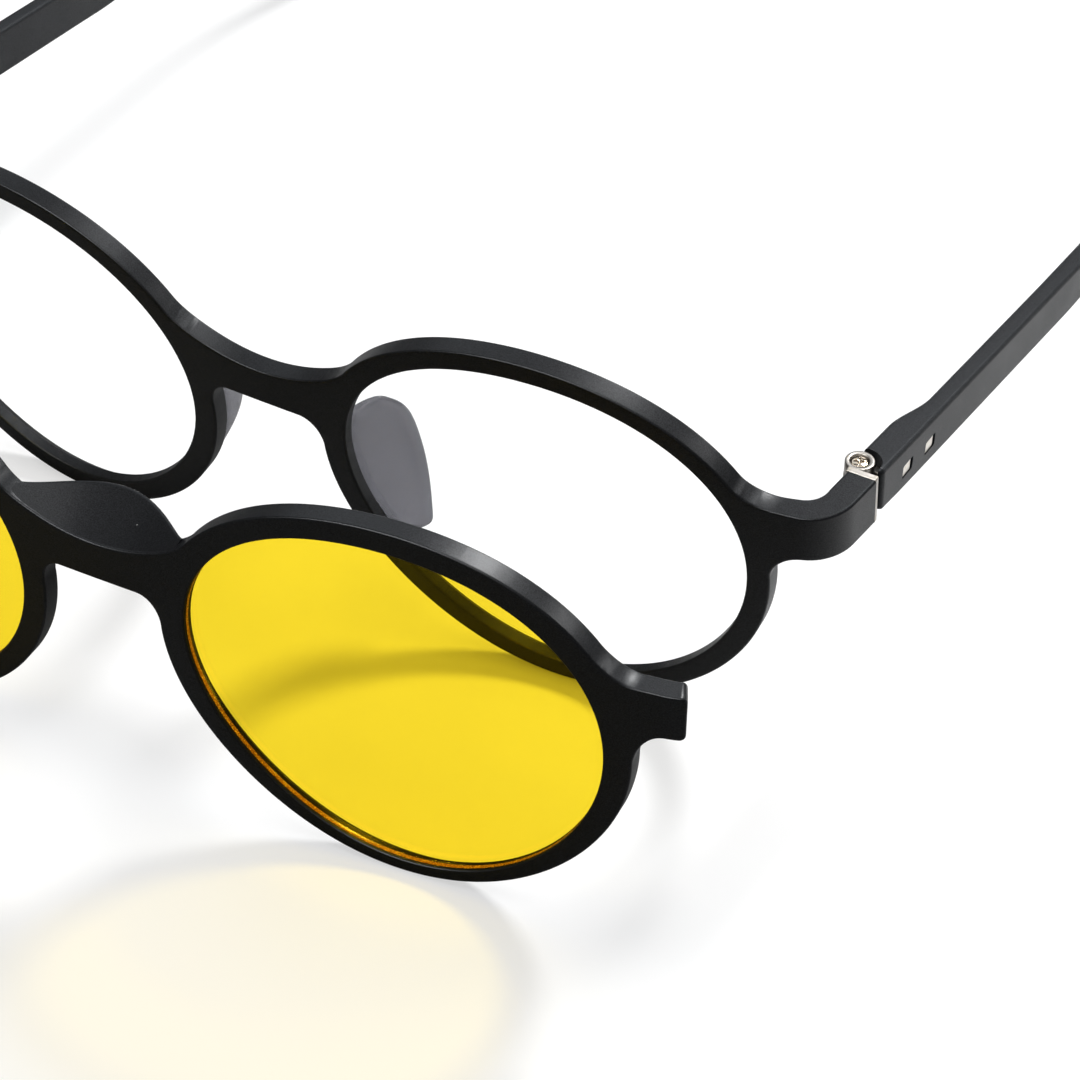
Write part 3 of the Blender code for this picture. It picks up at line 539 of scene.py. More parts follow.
def full_outline(center_x, outer_radius, bridge_top, bridge_bottom, rim_top_end,
                 rim_bottom_start, end_top, end_bottom, end_reach, top_join, bottom_join,
                 corner=0.0):
    """Flat (x, z) outline: the +X half from the bridge top clockwise, then its mirror."""
    def rim(degrees):
        angle = math.radians(degrees)
        radius = outer_radius(angle)
        return (center_x + radius * math.cos(angle), radius * math.sin(angle))

    def tangent(degrees):
        angle = math.radians(degrees)
        return (math.sin(angle), -math.cos(angle))

    def arc(start, end):
        count = max(2, int(abs(end - start) / ARC_STEP))
        return [rim(start + (end - start) * i / count) for i in range(count + 1)]

    xs = [BRIDGE_HALF * i / 12 for i in range(13)]
    points = [(x, bridge_top + BRIDGE_SAG * x ** 2) for x in xs]
    slope = 2 * BRIDGE_SAG * BRIDGE_HALF
    size = math.hypot(1, slope)
    points += hermite(points[-1], (1 / size, slope / size),
                      rim(RIM_TOP_START), tangent(RIM_TOP_START), 18)
    points += arc(RIM_TOP_START, rim_top_end)
    points += hermite(points[-1], tangent(rim_top_end), (top_join, end_top), (1, 0), 20)
    points += [(top_join, end_top)]
    if corner:
        for z, start in ((end_top - corner, 90), (end_bottom + corner, 0)):
            for k in range(6):
                angle = math.radians(start - 18 * k)
                points.append((end_reach - corner + corner * math.cos(angle),
                               z + corner * math.sin(angle)))
    else:
        points += [(end_reach, end_top), (end_reach, end_bottom)]
    points += [(bottom_join, end_bottom)]
    points += hermite(points[-1], (-1, 0), rim(rim_bottom_start), tangent(rim_bottom_start), 20)
    points += arc(rim_bottom_start, RIM_BOTTOM_END)
    points += hermite(points[-1], tangent(RIM_BOTTOM_END), (BRIDGE_FLAT, bridge_bottom),
                      (-1, 0), 20, pull=1.15)
    points += [(BRIDGE_FLAT - BRIDGE_FLAT / 5 * i, bridge_bottom) for i in range(5)]
    points += [(0.0, bridge_bottom)]
    return points + [(-x, z) for x, z in reversed(points) if x > 1e-6]


def lens_opening(side, center_x, scale, count=200):
    points = []
    for i in range(count):
        angle = 2 * math.pi * i / count
        radius = scale * opening_radius(angle)
        points.append((side * (center_x + radius * math.cos(angle)), radius * math.sin(angle)))
    return points


def plate(outline, center_x, scale, depth, edge):
    """Flat plate with two lens openings and rounded edges, its thickness along Z."""
    curve = bpy.data.curves.new("outline", 'CURVE')
    curve.dimensions = '2D'
    curve.fill_mode = 'BOTH'
    curve.extrude = depth / 2 - edge
    curve.bevel_depth = edge
    curve.bevel_resolution = 3
    curve.offset = -edge
    curve.resolution_u = 1
    curve.render_resolution_u = 0
    for loop in [outline] + [lens_opening(side, center_x, scale) for side, _ in SIDES]:
        spline = curve.splines.new('POLY')
        spline.points.add(len(loop) - 1)
        for point, (x, y) in zip(spline.points, loop):
            point.co = (x, y, 0, 1)
        spline.use_cyclic_u = True
    holder = bpy.data.objects.new("outline", curve)
    bpy.context.scene.collection.objects.link(holder)
    bpy.context.view_layer.update()
    graph = bpy.context.evaluated_depsgraph_get()
    mesh = bpy.data.meshes.new_from_object(holder.evaluated_get(graph))
    shape = bmesh.new()
    shape.from_mesh(mesh)
    bmesh.ops.remove_doubles(shape, verts=shape.verts, dist=1e-4)
    bpy.data.objects.remove(holder, do_unlink=True)
    bpy.data.curves.remove(curve)
    bpy.data.meshes.remove(mesh)
    return shape


LEG_ANGLE = math.radians(79.0)            # how far the end pieces turn back
LEG_BLEND = 4.0                           # length before the turn where they start to thicken
LEG_SHARE = 0.35                          # share of the thickening done before the turn


def bend(flat_x, height, fraction, start, radius, depth, leg_depth):
    """Point of the wrapped front; fraction runs through the plate from front to back."""
    side = 1.0 if flat_x >= 0 else -1.0
    flat_x = abs(flat_x)
    start_angle = math.atan(WRAP * start)
    if flat_x <= start:
        k = max(0.0, min(1.0, (flat_x - (start - LEG_BLEND)) / LEG_BLEND))
        share = LEG_SHARE * k * k
        angle = math.atan(WRAP * flat_x) * k
        x, y = flat_x, wrap_y(flat_x)
    else:
        angle = min(LEG_ANGLE, start_angle + (flat_x - start) / radius)
        rest = max(0.0, (flat_x - start) - (LEG_ANGLE - start_angle) * radius)
        x = (start + radius * (math.sin(angle) - math.sin(start_angle))
             + math.cos(LEG_ANGLE) * rest)
        y = (wrap_y(start) + radius * (math.cos(start_angle) - math.cos(angle))
             + math.sin(LEG_ANGLE) * rest)
        k = min(1.0, (angle - start_angle) / (LEG_ANGLE - start_angle))
        share = LEG_SHARE + (1 - LEG_SHARE) * k
    thickness = depth + (leg_depth - depth) * share
    x -= math.sin(angle) * thickness * fraction
    y += math.cos(angle) * thickness * fraction
    return Vector((side * x, y, height))


def bend_plate(shape, depth, start, radius, leg_depth):
    """Cut upright strips, then wrap the flat pattern and turn its end pieces back."""
    low = min(vert.co.x for vert in shape.verts)
    high = max(vert.co.x for vert in shape.verts)
    cuts, x = [], low + 0.4
    while x < high:
        cuts.append(x)
        x += 0.45 if abs(x) > start - 5 else 1.6
    for x in cuts:
        near = [face for face in shape.faces
                if min(v.co.x for v in face.verts) < x < max(v.co.x for v in face.verts)]
        geometry = set(near)
        for face in near:
            geometry.update(face.verts)
            geometry.update(face.edges)
        bmesh.ops.bisect_plane(shape, geom=list(geometry), dist=1e-5, plane_co=(x, 0, 0),
                               plane_no=(1, 0, 0))
    for vert in shape.verts:
        vert.co = bend(vert.co.x, vert.co.y, vert.co.z / depth + 0.5, start, radius, depth,
                       leg_depth)


def seat_cut(side, center_x, scale, flare, depth, count=160):
    """Solid that clears the rim behind a lens, flaring towards the back."""
    seat = LENS_LIP + LENS_T + SEAT_GAP
    # (distance beyond the opening, depth)
    profile = ((-0.6, seat), (0.0, seat), (flare, depth + 0.06), (flare, depth + 2))
    shape = bmesh.new()
    rings = []
    for offset, y in profile:
        ring = []
        for i in range(count):
            # turned by part of a step to keep clear of the opening's own points
            angle = 2 * math.pi * (i + 0.37) / count
            radius = scale * opening_radius(angle) + offset
            x = center_x + radius * math.cos(angle)
            ring.append(shape.verts.new((side * x, wrap_y(x) + y, radius * math.sin(angle))))
        rings.append(ring)
    for first, second in zip(rings, rings[1:]):
        join_rings(shape, first, second)
    for ring, y in ((rings[0], profile[0][1]), (rings[-1], profile[-1][1])):
        middle = shape.verts.new((side * center_x, wrap_y(center_x) + y, 0))
        join_rings(shape, ring, [middle])
    return shape


def magnet_pocket(side, x, floor):
    y = wrap_y(x)
    return disc(side * x, MAGNET_Z, MAGNET_R + MAGNET_GAP, y + floor, y + 6)


def add_magnet(name, side, x, floor, matrix, body, replaced):
    front = wrap_y(x) + floor + MAGNET_GAP
    add_part(name, disc(side * x, MAGNET_Z, MAGNET_R, front, front + MAGNET_T), matrix, NICKEL,
             body, "magnet", replaced=(replaced,), bevel=dict(width=0.12))


# --------------------------------------------------------------------- front
def add_front():
    outline = full_outline(
        LENS_X, lambda angle: opening_radius(angle) + front_width(angle),
        BRIDGE_TOP, BRIDGE_BOTTOM, rim_top_end=34, rim_bottom_start=4,
        end_top=END_TOP, end_bottom=END_BOTTOM, end_reach=END_START + 12.5,
        top_join=60.6, bottom_join=63.3)
    shape = plate(outline, LENS_X, 1.0, DEPTH, EDGE)
    bend_plate(shape, DEPTH, END_START, END_R, END_DEPTH)
    # trim the turned-back end pieces flat
    geometry = list(shape.verts) + list(shape.edges) + list(shape.faces)
    bmesh.ops.bisect_plane(shape, geom=geometry, dist=1e-5, plane_co=(0, BUTT_Y, 0),
                           plane_no=(0, 1, 0), clear_outer=True)
    bmesh.ops.holes_fill(shape, edges=[e for e in shape.edges if e.is_boundary], sides=0)
    cuts = []
    for side, _ in SIDES:
        cuts.append(seat_cut(side, LENS_X, 1.0, 1.35, DEPTH))
        cuts.append(magnet_pocket(side, MAGNET_X, MAGNET_FLOOR))
    add_part("front_rim", shape, FRONT_MATRIX, BLACK, "front", "black_plastic",
             replaced=("front_frame",), cuts=cuts)


# -------------------------------------------------------------------- lenses
# ring sizes as fractions of the lens radius, from the edge inwards
LENS_RINGS = (1.0, 0.9985, 0.994, 0.94, 0.86, 0.74, 0.6, 0.44, 0.26, 0.1)
LENS_CHAMFER = 0.05


def lens_shape(side, center_x, scale, margin, dome, count=180):
    """Lens bulging forwards; its "rim" attribute is 1 on the front part of the edge."""
    shape = bmesh.new()
    layer = shape.verts.layers.float.new("rim")

    def ring(fraction, y, mark):
        verts = []
        for i in range(count):
            angle = 2 * math.pi * i / count
            radius = scale * opening_radius(angle) + margin
            x = center_x + fraction * radius * math.cos(angle)
            edge_x = center_x + radius * math.cos(angle)
            base = WRAP * (center_x * center_x
                           + fraction * (edge_x * edge_x - center_x * center_x)) / 2
            vert = shape.verts.new((side * x, base + y - dome * (1 - fraction * fraction),
                                    fraction * radius * math.sin(angle)))
            vert[layer] = mark
            verts.append(vert)
        return verts

    front_y, back_y = LENS_LIP, LENS_LIP + LENS_T
    front, back = [], []
    for fraction in LENS_RINGS:
        at_edge = fraction == 1.0
        front.append(ring(fraction, front_y + (LENS_CHAMFER if at_edge else 0.0),
                          1.0 if at_edge else 0.0))
    for fraction in LENS_RINGS:
        back.append(ring(fraction, back_y - (LENS_CHAMFER if fraction == 1.0 else 0.0), 0.0))
    edge = [front[0], ring(1.0, front_y + 0.46, 1.0), ring(1.0, front_y + 0.50, 0.0), back[0]]
    for rings in (front, back, edge):
        for first, second in zip(rings, rings[1:]):
            join_rings(shape, first, second)
    for rings, y in ((front, front_y), (back, back_y)):
        middle = shape.verts.new((side * center_x, wrap_y(center_x) + y - dome, 0))
        join_rings(shape, rings[-1], [middle])
    return shape


def add_front_lenses():
    for side, tag in SIDES:
        shape = lens_shape(side, LENS_X, 1.0, margin=0.30, dome=0.6)
        part = make("clear_lens_" + tag, shape, FRONT_MATRIX, CLEAR, 60)
        register(part, "front", "clear_lens", "lens_" + tag)
        add_magnet("rim_magnet_" + tag, side, MAGNET_X, MAGNET_FLOOR, FRONT_MATRIX, "front",
                   "front_magnet_" + tag)


# ------------------------------------------------------------------ nose pads
# free edges of the +X pad from top to bottom: (x, y, z)
PAD_LENS_SIDE = ((11.5, 7.6, 4.6), (13.5, 9.5, 1.8), (14.7, 9.7, -3.2),
                 (15.5, 8.9, -8.4), (16.5, 6.6, -13.3))
PAD_NOSE_SIDE = ((8.8, 5.8, 3.8), (8.9, 8.4, 0.4), (9.6, 8.8, -4.6),
                 (11.2, 7.8, -9.4), (14.0, 5.2, -13.6))
PAD_START, PAD_SWEEP = 171.5, 40.0        # degrees round the rim
PAD_STEPS = 15


def along(points, u):
    """Catmull-Rom curve through the points, u from 0 to 1."""
    last = len(points) - 1
    i = min(last - 1, int(u * last))
    f = u * last - i
    p = [Vector(points[max(0, min(last, i + k))]) for k in (-1, 0, 1, 2)]
    return 0.5 * ((2 * p[1]) + (p[2] - p[0]) * f
                  + (2 * p[0] - 5 * p[1] + 4 * p[2] - p[3]) * f * f
                  + (3 * p[1] - p[0] - 3 * p[2] + p[3]) * f ** 3)


def pad_shape(side):
    rows = []
    for i in range(-1, PAD_STEPS + 1):
        u = max(0.0, min(1.0, i / (PAD_STEPS - 1)))
        angle = math.radians(PAD_START + PAD_SWEEP * u)
        # roots on the back of the rim, at the lens and at the nose
        roots = []
        for radius in (opening_radius(angle) + 0.95,
                       opening_radius(angle) + front_width(angle) - 0.2):
            x = LENS_X + radius * math.cos(angle)
            roots.append(Vector((x, wrap_y(x) + DEPTH - 0.10, radius * math.sin(angle))))
        lens_root, nose_root = roots
        lens_tip, nose_tip = along(PAD_LENS_SIDE, u), along(PAD_NOSE_SIDE, u)
        row = [lens_root,
               lens_root.lerp(lens_tip, 0.35),
               lens_root.lerp(lens_tip, 0.78),
               lens_tip.lerp(nose_tip, 0.10) + Vector((0, 0.08, 0)),
               lens_tip.lerp(nose_tip, 0.5) + Vector((0, 0.55, 0)),
               nose_tip.lerp(lens_tip, 0.10) + Vector((0, 0.08, 0)),
               nose_root.lerp(nose_tip, 0.78),
               nose_root.lerp(nose_tip, 0.35),
               nose_root]
        if i < 0 or i == PAD_STEPS:
            # closing rows, drawn in and pushed outwards
            sign = 1 if i < 0 else -1
            middle = sum(row, Vector()) / len(row)
            middle.z += 0.5 * sign
            middle.y = min(middle.y, (lens_root.y + lens_tip.y) / 2)
            row = [middle.lerp(point, 0.55) + Vector((0, 0, 0.3 * sign)) for point in row]
        rows.append([(side * point.x, point.y, point.z) for point in row])
    return loft(rows)


def add_pads():
    for side, tag in SIDES:
        part = make("pad_" + tag, pad_shape(side), FRONT_MATRIX, PAD, 180)
        modifier = part.modifiers.new("smooth", 'SUBSURF')
        modifier.levels = modifier.render_levels = 2
        apply_modifiers(part)
        part.data.shade_smooth()
        register(part, "front", "smoke_pad", "nose_pad_" + tag)


# --------------------------------------------------------------------- hinges
def ring_profile(bottom, top, edge):
    """(radius, height) of a bored ring with chamfered outer edges."""
    return [(BORE_R, bottom), (BORE_R, top), (KNUCKLE_R - edge, top), (KNUCKLE_R, top - edge),
            (KNUCKLE_R, bottom + edge), (KNUCKLE_R - edge, bottom)]


def top_ring_profile():
    """(radius, height) of the upper ring, recessed for the screw head."""
    edge = KNUCKLE_EDGE
    return [(HEAD_R + 0.10, HEAD_SEAT), (HEAD_R + 0.10, HINGE_TOP - 0.05),
            (HEAD_R + 0.15, HINGE_TOP), (KNUCKLE_R - edge, HINGE_TOP),
            (KNUCKLE_R - 0.035, HINGE_TOP - 0.035), (KNUCKLE_R, HINGE_TOP - edge),
            (KNUCKLE_R, UPPER_Z + edge), (KNUCKLE_R - edge, UPPER_Z), (BORE_R, UPPER_Z),
            (BORE_R, HEAD_SEAT)]


def add_screw(tag, center):
    """Screw with a domed head and a cross recess."""
    top = HINGE_TOP - 0.10
    profile = [(0.0, top), (0.45, top - 0.02), (0.8, top - 0.08), (HEAD_R - 0.08, top - 0.16),
               (HEAD_R, top - 0.26), (HEAD_R, top - 0.50), (SCREW_R, top - 0.52),
               (SCREW_R, HINGE_BOTTOM + 0.22), (SCREW_R - 0.12, HINGE_BOTTOM + 0.1),
               (0.0, HINGE_BOTTOM + 0.1)]
    cuts = []
    for degrees in (22, 112):
        slot = box((-0.66, 0.66), (-0.115, 0.115), (top - 0.34, top + 1))
        turn = Matrix.Rotation(math.radians(degrees), 3, 'Z')
        bmesh.ops.rotate(slot, verts=slot.verts, matrix=turn)
        bmesh.ops.translate(slot, verts=slot.verts, vec=(*center, 0))
        cuts.append(slot)
    cuts.append(rod(center, 0.26, top - 0.42, top + 1, segments=24))
    add_part("screw_" + tag, turned(center, profile, 64), IDENTITY, SCREW, "front", "nickel",
             replaced=("hinge_screw_" + tag,), cuts=cuts,
             bevel=dict(width=0.03, segments=2, angle=50), sharp=50)


def add_hinges():
    """Plates, upper and lower rings and screws, all on the front."""
    for side, tag in SIDES:
        center = (side * HINGE_X, HINGE_Y)
        plate_y = BUTT_Y + 0.02
        shape = box([side * x for x in PLATE_X], (plate_y, plate_y + PLATE_T),
                    (END_BOTTOM - 0.12, END_TOP + 0.06))
        add_part("hinge_plate_" + tag, shape, FRONT_MATRIX, NICKEL_PLATE, "front", "nickel",
                 replaced=("front_hinge_" + tag,), bevel=dict(width=0.14))
        low_ring = ring_profile(HINGE_BOTTOM, LOWER_Z, KNUCKLE_EDGE)
        for place, profile in (("top", top_ring_profile()), ("low", low_ring)):
            add_part("hinge_ring_%s_%s" % (place, tag), turned(center, profile), IDENTITY,
                     NICKEL, "front", "nickel", sharp=50)
        add_screw(tag, center)


# -------------------------------------------------------------------- temples
# gradual changes along the temple: (start, end, amount)
HEIGHT_CHANGES = ((48, 72, EAR_H - TEMPLE_H), (96, 122, 1.3))
THICKNESS_CHANGES = ((7.6, 15.0, TEMPLE_T - BUTT_T), (40, 70, EAR_T - TEMPLE_T),
                     (90, 118, 0.35))
SWELL_START = 28                          # past this, extra thickness swells both faces
TIP_ROUND_H, TIP_ROUND_T = 3.1, 1.3       # lengths over which the tip rounds off
BUTT_END, BUTT_ROUND = 0.03, 0.45         # rounding of the front end
TEMPLE_EDGE = 0.52

# distances along the temple of its cross sections
TEMPLE_STATIONS = (
    [-0.42, -0.40, -0.35, -0.26, -0.13, 0.02, 0.2, 0.7, 1.5, 2.5, 3.5, 4.5, 5.5, 6.5]
    + [7.0 + 0.5 * i for i in range(19)]
    + [16.5 + 1.5 * i for i in range(48)]
    + [88.5 + 1.0 * i for i in range(42)]
    + [130.2, 130.8, 131.4, 131.9, 132.4, 132.8, 133.15, 133.45, 133.7, 133.87, 133.96,
       TEMPLE_END])


def temple_line(distance):
    """Y and Z of the top edge, and its downward angle."""
    start_angle = math.atan(TEMPLE_DROP)
    if distance <= BEND_START:
        return distance, TEMPLE_TOP - TEMPLE_DROP * distance, start_angle
    arc = BEND_R * BEND_ANGLE
    angle = start_angle + min(distance - BEND_START, arc) / BEND_R
    y = BEND_START + BEND_R * (math.sin(angle) - math.sin(start_angle))
    z = (TEMPLE_TOP - TEMPLE_DROP * BEND_START
         - BEND_R * (math.cos(start_angle) - math.cos(angle)))
    rest = max(0.0, distance - BEND_START - arc)
    return y + rest * math.cos(angle), z - rest * math.sin(angle), angle


def changed(base, changes, distance):
    return base + sum(amount * ease(start, end, distance) for start, end, amount in changes)


def section(low, high, height, corner, steps=5):
    """Rounded rectangle, points as (across, down)."""
    points = []
    for across, down, start in ((high - corner, corner, -90), (high - corner, height - corner, 0),
                                (low + corner, height - corner, 90), (low + corner, corner, 180)):
        for i in range(steps + 1):
            angle = math.radians(start + 90.0 * i / steps)
            points.append((across + corner * math.cos(angle), down + corner * math.sin(angle)))
    return points


def temple_shape(side):
    rows = []
    for distance in TEMPLE_STATIONS:
        y, top, angle = temple_line(distance)
        height = changed(TEMPLE_H, HEIGHT_CHANGES, distance)
        thickness = changed(BUTT_T, THICKNESS_CHANGES, distance)
        limit = EAR_T if distance > SWELL_START else thickness
        middle = TEMPLE_OUT - min(thickness, limit) / 2
        # rounded tip
        into_tip = max(0.0, (distance - (TEMPLE_END - TIP_ROUND_H)) / TIP_ROUND_H)
        keep = math.sqrt(max(0.012, 1 - into_tip * into_tip))
        shrink = height * (1 - keep * (1 - 0.12 * ease(118, TEMPLE_END, distance)))
        into_end = max(0.0, (distance - (TEMPLE_END - TIP_ROUND_T)) / TIP_ROUND_T)
        keep_thickness = math.sqrt(max(0.02, 1 - into_end ** 2))
        # rounded front end
        into_butt = max(0.0, (BUTT_END - distance) / BUTT_ROUND)
        inset = BUTT_ROUND * (1 - math.sqrt(max(0.0, 1 - into_butt * into_butt)))
        top -= (shrink / 2 + inset) * math.cos(angle)
        y -= shrink / 2 * math.sin(angle)
        height -= shrink + 2 * inset
        thickness = thickness * keep_thickness - 2 * inset
        corner = min(TEMPLE_EDGE, 0.42 * thickness, 0.42 * height)
        # sections lean with the front at the hinge and square up to the line further back
        lean = angle * ease(0.0, 16.0, distance) - 0.7 * TILT * (1.0 - ease(0.0, 5.0, distance))
        points = section(middle - thickness / 2, middle + thickness / 2, height, corner)
        rows.append([(side * x, y - down * math.sin(lean), top - down * math.cos(lean))
                     for x, down in points])
    return loft(rows)


def stud_z(distance):
    return TEMPLE_TOP - TEMPLE_DROP * distance - TEMPLE_H / 2 - STUD_DROP


def add_temple(side, tag):
    matrix = (Matrix.Translation((side * HINGE_X, HINGE_Y, 0))
              @ Matrix.Rotation(-side * SPLAY, 4, 'Z'))
    body = "temple_%s_arm" % tag
    # cleared round the hinge, with a window through to each stud
    cuts = [rod((0, 0), KNUCKLE_R + 0.74, 0, 24, segments=96)]
    for distance in STUDS:
        cuts.append(rounded_box((side * (LEAF_X[1] + 0.02), side * (TEMPLE_OUT + 1)), distance,
                                stud_z(distance), WINDOW_L / 2, WINDOW_H / 2, 0.24))
    part = make("temple_arm_" + tag, temple_shape(side), matrix, BLACK_TEMPLE, 60)
    cut(part, cuts, matrix)
    even_normals(part, 45)
    register(part, body, "black_plastic", "temple_" + tag)

    knuckle = ring_profile(MID_BOTTOM, MID_TOP, MID_KNUCKLE_EDGE)
    add_part("mid_knuckle_" + tag, turned((0, 0), knuckle), matrix, NICKEL, body, "nickel",
             replaced=("temple_hinge_" + tag,), sharp=50)
    leaf = box([side * x for x in LEAF_X], (1.0, 4.0), (MID_BOTTOM + 0.05, MID_TOP - 0.05))
    add_part("hinge_leaf_" + tag, leaf, matrix, NICKEL_PLATE, body, "nickel",
             bevel=dict(width=0.06))
    for distance, place in zip(STUDS, ("front", "rear")):
        name = "stud_%s_%s" % (tag, place)
        stud = rounded_box((side * (LEAF_X[1] - 0.2), side * (TEMPLE_OUT - 0.14)),
                           distance - 0.12, stud_z(distance), WINDOW_L / 2 - 0.15,
                           WINDOW_H / 2 - 0.03, 0.20)
        add_part(name, stud, matrix, STUD_METAL, body, "nickel", replaced=("temple_" + name,),
                 bevel=dict(width=0.05, segments=2))


# -------------------------------------------------------------------- clip-on
def add_clip():
    outline = full_outline(
        CLIP_LENS_X, lambda angle: CLIP_SCALE * opening_radius(angle) + clip_width(angle),
        CLIP_BRIDGE_TOP, CLIP_BRIDGE_BOTTOM, rim_top_end=36, rim_bottom_start=3,
        end_top=CLIP_TOP, end_bottom=CLIP_BOTTOM, end_reach=CLIP_END,
        top_join=59.0, bottom_join=62.0, corner=0.7)
    shape = plate(outline, CLIP_LENS_X, CLIP_SCALE, CLIP_DEPTH, CLIP_EDGE)
    bend_plate(shape, CLIP_DEPTH, CLIP_END_START, CLIP_END_R, CLIP_DEPTH)
    cuts = []
    for side, _ in SIDES:
        cuts.append(seat_cut(side, CLIP_LENS_X, CLIP_SCALE, 1.25, CLIP_DEPTH))
        cuts.append(magnet_pocket(side, CLIP_MAGNET_X, CLIP_MAGNET_FLOOR))
    add_part("clip_rim", shape, CLIP_MATRIX, BLACK_CLIP, "clip_on", "black_plastic",
             replaced=("clip_frame",), cuts=cuts)


def hook_shape(columns=110, steps=30):
    """Tongue from the top edge of the clip's bridge, rising backwards."""
    shape = bmesh.new()
    top, low = [], []
    for i in range(columns + 1):
        x = -HOOK_HALF + 2 * HOOK_HALF * i / columns
        bridge_z = CLIP_BRIDGE_TOP + BRIDGE_SAG * x * x
        swell = max(0.0, 1 - (x / HOOK_HALF) ** 2) ** 1.2
        back = HOOK_SIDE + (HOOK_LEN - HOOK_SIDE) * swell
        top_row, low_row = [], []
        for j in range(steps + 1):
            y = HOOK_FRONT + (back - HOOK_FRONT) * j / steps
            share = (y - HOOK_FRONT) / (HOOK_LEN - HOOK_FRONT)
            z = bridge_z + share * max(0.0, HOOK_TOP + 0.018 * x * x - bridge_z) - 0.012
            # rounded rear and side edge
            away = (back - y) / HOOK_ROUND
            lift = 0
            if away < 1:
                z -= HOOK_EDGE * (1 - math.sqrt(max(0.0, 1 - (1 - away) ** 2)))
                lift = HOOK_EDGE * (1 - away) ** 2
            low_z = z - HOOK_T + lift
            if y > HOOK_SIDE:
                low_z = min(z - 0.12, max(low_z, bridge_z))
            top_row.append(shape.verts.new((x, wrap_y(x) + y, z)))
            low_row.append(shape.verts.new((x, wrap_y(x) + y, low_z)))
        top.append(top_row)
        low.append(low_row)
    new_face = shape.faces.new
    for i in range(columns):
        for j in range(steps):
            new_face((top[i][j], top[i + 1][j], top[i + 1][j + 1], top[i][j + 1]))
            new_face((low[i][j], low[i][j + 1], low[i + 1][j + 1], low[i + 1][j]))
        new_face((top[i][0], low[i][0], low[i + 1][0], top[i + 1][0]))
        new_face((top[i][-1], top[i + 1][-1], low[i + 1][-1], low[i][-1]))
    for j in range(steps):
        new_face((top[0][j], top[0][j + 1], low[0][j + 1], low[0][j]))
        new_face((top[-1][j], low[-1][j], low[-1][j + 1], top[-1][j + 1]))
    return shape


def add_clip_lenses():
    for side, tag in SIDES:
        shape = lens_shape(side, CLIP_LENS_X, CLIP_SCALE, margin=-0.015, dome=0.5)
        part = make("sun_lens_" + tag, shape, CLIP_MATRIX, YELLOW, 60)
        register(part, "clip_on", "yellow_lens", "clip_lens_" + tag)
        add_magnet("hook_magnet_" + tag, side, CLIP_MAGNET_X, CLIP_MAGNET_FLOOR, CLIP_MATRIX,
                   "clip_on", "clip_magnet_" + tag)


add_front()
add_front_lenses()
add_pads()
add_hinges()
for side, tag in SIDES:
    add_temple(side, tag)
add_clip()
add_part("clip_hook", hook_shape(), CLIP_MATRIX, BLACK_CLIP, "clip_on", "black_plastic",
         sharp=50)
add_clip_lenses()


# --------------------------------------------------------- stage, in metres
FLOOR_HALF, FLOOR_Z = 3.0, -0.0002
scene = bpy.context.scene


def floor_material():
    """Pale all over for the eye; in reflections dark in front and bright behind."""
    material, tree, surface = new_material("pale_floor")
    pale = node(tree, 'BsdfPrincipled', {'Base Color': rgba(grey(0.93)), 'Roughness': 0.9,
                                         'Specular IOR Level': 0.1})
    glow = node(tree, 'Emission', {'Color': rgba(grey(1.0)), 'Strength': 1.02})
    path = node(tree, 'LightPath').outputs
    # share of glow seen directly, and seen through one transparent surface
    share = map_range(tree, path['Transparent Depth'], source=(0.0, 1.0), target=(0.58, 0.28))
    eye = math_node(tree, 'MULTIPLY', path['Is Camera Ray'], share)
    lit = mix_shader(tree, eye, pale, glow)
    # darkening of reflections, growing forwards on a slant across the floor
    position = node(tree, 'NewGeometry').outputs['Position']
    axes = node(tree, 'SeparateXYZ', {0: position}).outputs
    slant = multiply_add(tree, axes['X'], by=0.5, plus=axes['Y'])
    forwards = map_range(tree, slant, source=(0.03, -0.05), target=(0.0, 0.82),
                         interpolation_type='SMOOTHSTEP')
    dim = math_node(tree, 'MULTIPLY', forwards, path['Is Glossy Ray'])
    dark = node(tree, 'BsdfDiffuse', {'Color': rgba(grey(0.02))})
    tree.links.new(mix_shader(tree, dim, lit, dark).outputs[0], surface)
    return material


def add_floor():
    material = floor_material()
    mesh = bpy.data.meshes.new("floor")
    corners = [(x * FLOOR_HALF, y * FLOOR_HALF, FLOOR_Z)
               for x, y in ((-1, -1), (1, -1), (1, 1), (-1, 1))]
    mesh.from_pydata(corners, [], [(0, 1, 2, 3)])
    floor = bpy.data.objects.new("floor", mesh)
    scene.collection.objects.link(floor)
    mesh.materials.append(material)


def set_world(strength, camera_extra):
    """White background, brighter to the camera than it is as a light."""
    world = bpy.data.worlds.new("studio")
    scene.world = world
    world.use_nodes = True
    tree = world.node_tree
    background = tree.nodes["Background"]
    background.inputs['Color'].default_value = rgba(grey(1.0))
    camera_ray = node(tree, 'LightPath').outputs['Is Camera Ray']
    level = multiply_add(tree, camera_ray, by=camera_extra, plus=strength)
    tree.links.new(level, background.inputs['Strength'])


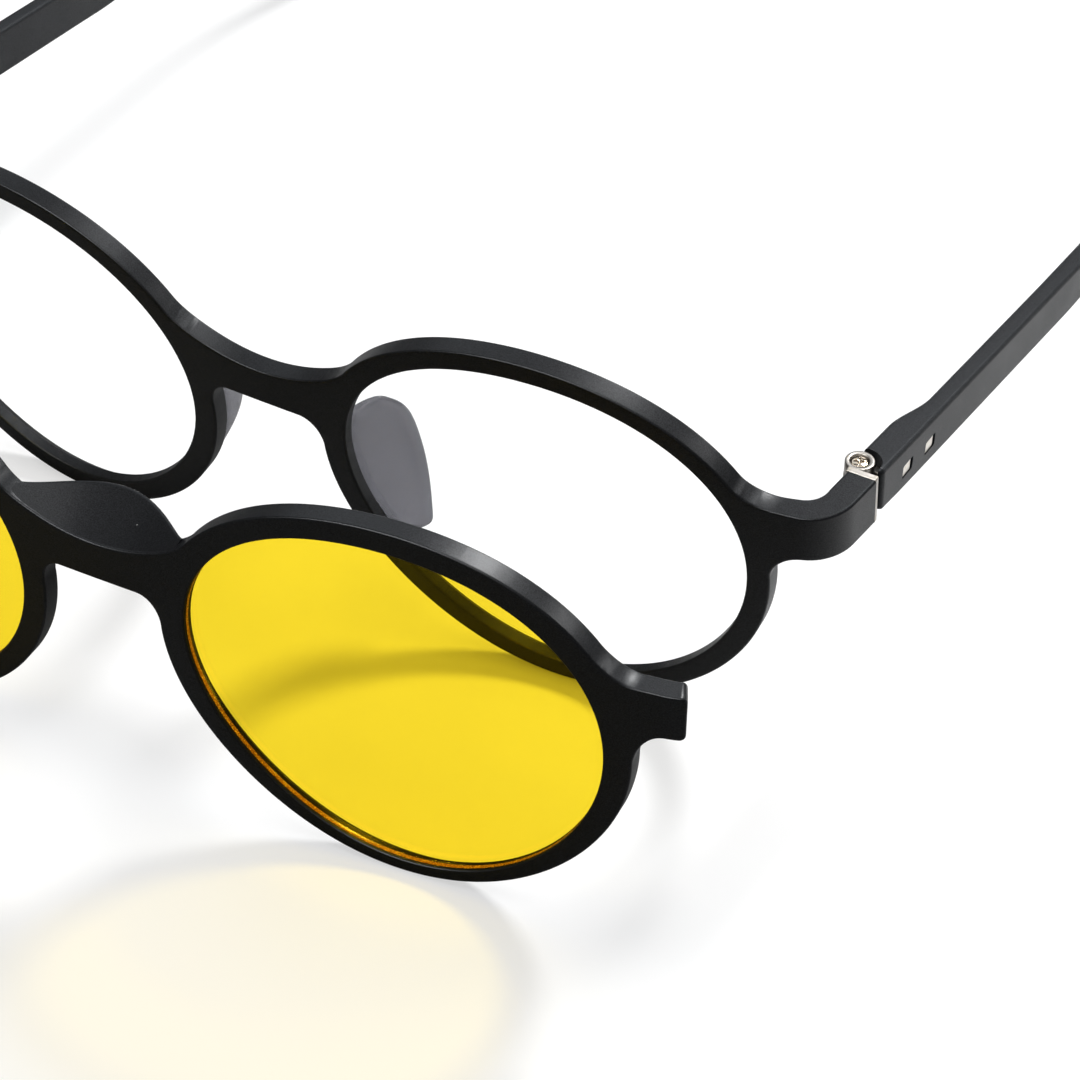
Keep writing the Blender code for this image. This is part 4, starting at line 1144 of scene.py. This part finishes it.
def area(name, location, target, size, power, color=(1, 1, 1), only_sheen=False):
    light = bpy.data.lights.new(name, 'AREA')
    light.shape = 'RECTANGLE'
    light.size, light.size_y = size
    light.energy = power
    light.color = color
    lamp = bpy.data.objects.new(name, light)
    lamp.location = location
    direction = Vector(target) - Vector(location)
    lamp.rotation_euler = direction.to_track_quat('-Z', 'Y').to_euler()
    scene.collection.objects.link(lamp)
    if only_sheen:
        lamp.visible_diffuse = False


def add_camera(azimuth, elevation, position_mm, focal_length):
    """Camera in front, above and towards +X; position is in drawing coordinates."""
    back = Vector((math.sin(azimuth) * math.cos(elevation),
                   -math.cos(azimuth) * math.cos(elevation), math.sin(elevation)))
    right = Vector((math.cos(azimuth), math.sin(azimuth), 0.0))
    up = back.cross(right)
    camera = bpy.data.cameras.new("view")
    camera.sensor_width = 36.0
    camera.sensor_fit = 'HORIZONTAL'
    camera.lens = focal_length
    camera.clip_start = 0.01
    camera.clip_end = 20.0
    view = bpy.data.objects.new("view", camera)
    location = (Vector(position_mm) - ORIGIN) * MM
    turn = Matrix((right, up, back)).transposed().to_4x4()
    view.matrix_world = Matrix.Translation(location) @ turn
    scene.collection.objects.link(view)
    scene.camera = view


add_floor()
set_world(strength=0.15, camera_extra=0.55)
scene.view_settings.view_transform = 'Standard'
area("key_back", location=(0.090, 0.325, 0.475), target=(0.01, -0.03, 0.0),
     size=(0.12, 0.12), power=3.6)
area("softbox_left", location=(-0.40, 0.48, 0.55), target=(0, -0.02, 0.02),
     size=(0.60, 0.50), power=1.5, color=(0.90, 0.95, 1.0))
area("softbox_top", location=(0.10, -0.05, 0.80), target=(0, -0.05, 0),
     size=(0.60, 0.50), power=2.7)
area("edge_front", location=(-0.10, -0.50, 0.52), target=(0.0, -0.05, 0.02),
     size=(0.66, 0.13), power=10.0, only_sheen=True)
area("edge_side", location=(0.50, 0.40, 0.36), target=(0.05, -0.03, 0.03),
     size=(0.13, 0.13), power=1.3, only_sheen=True)
add_camera(azimuth=0.51268, elevation=0.73938, position_mm=(132.1, -173.1, 180.8),
           focal_length=83.86)

bpy.context.view_layer.update()
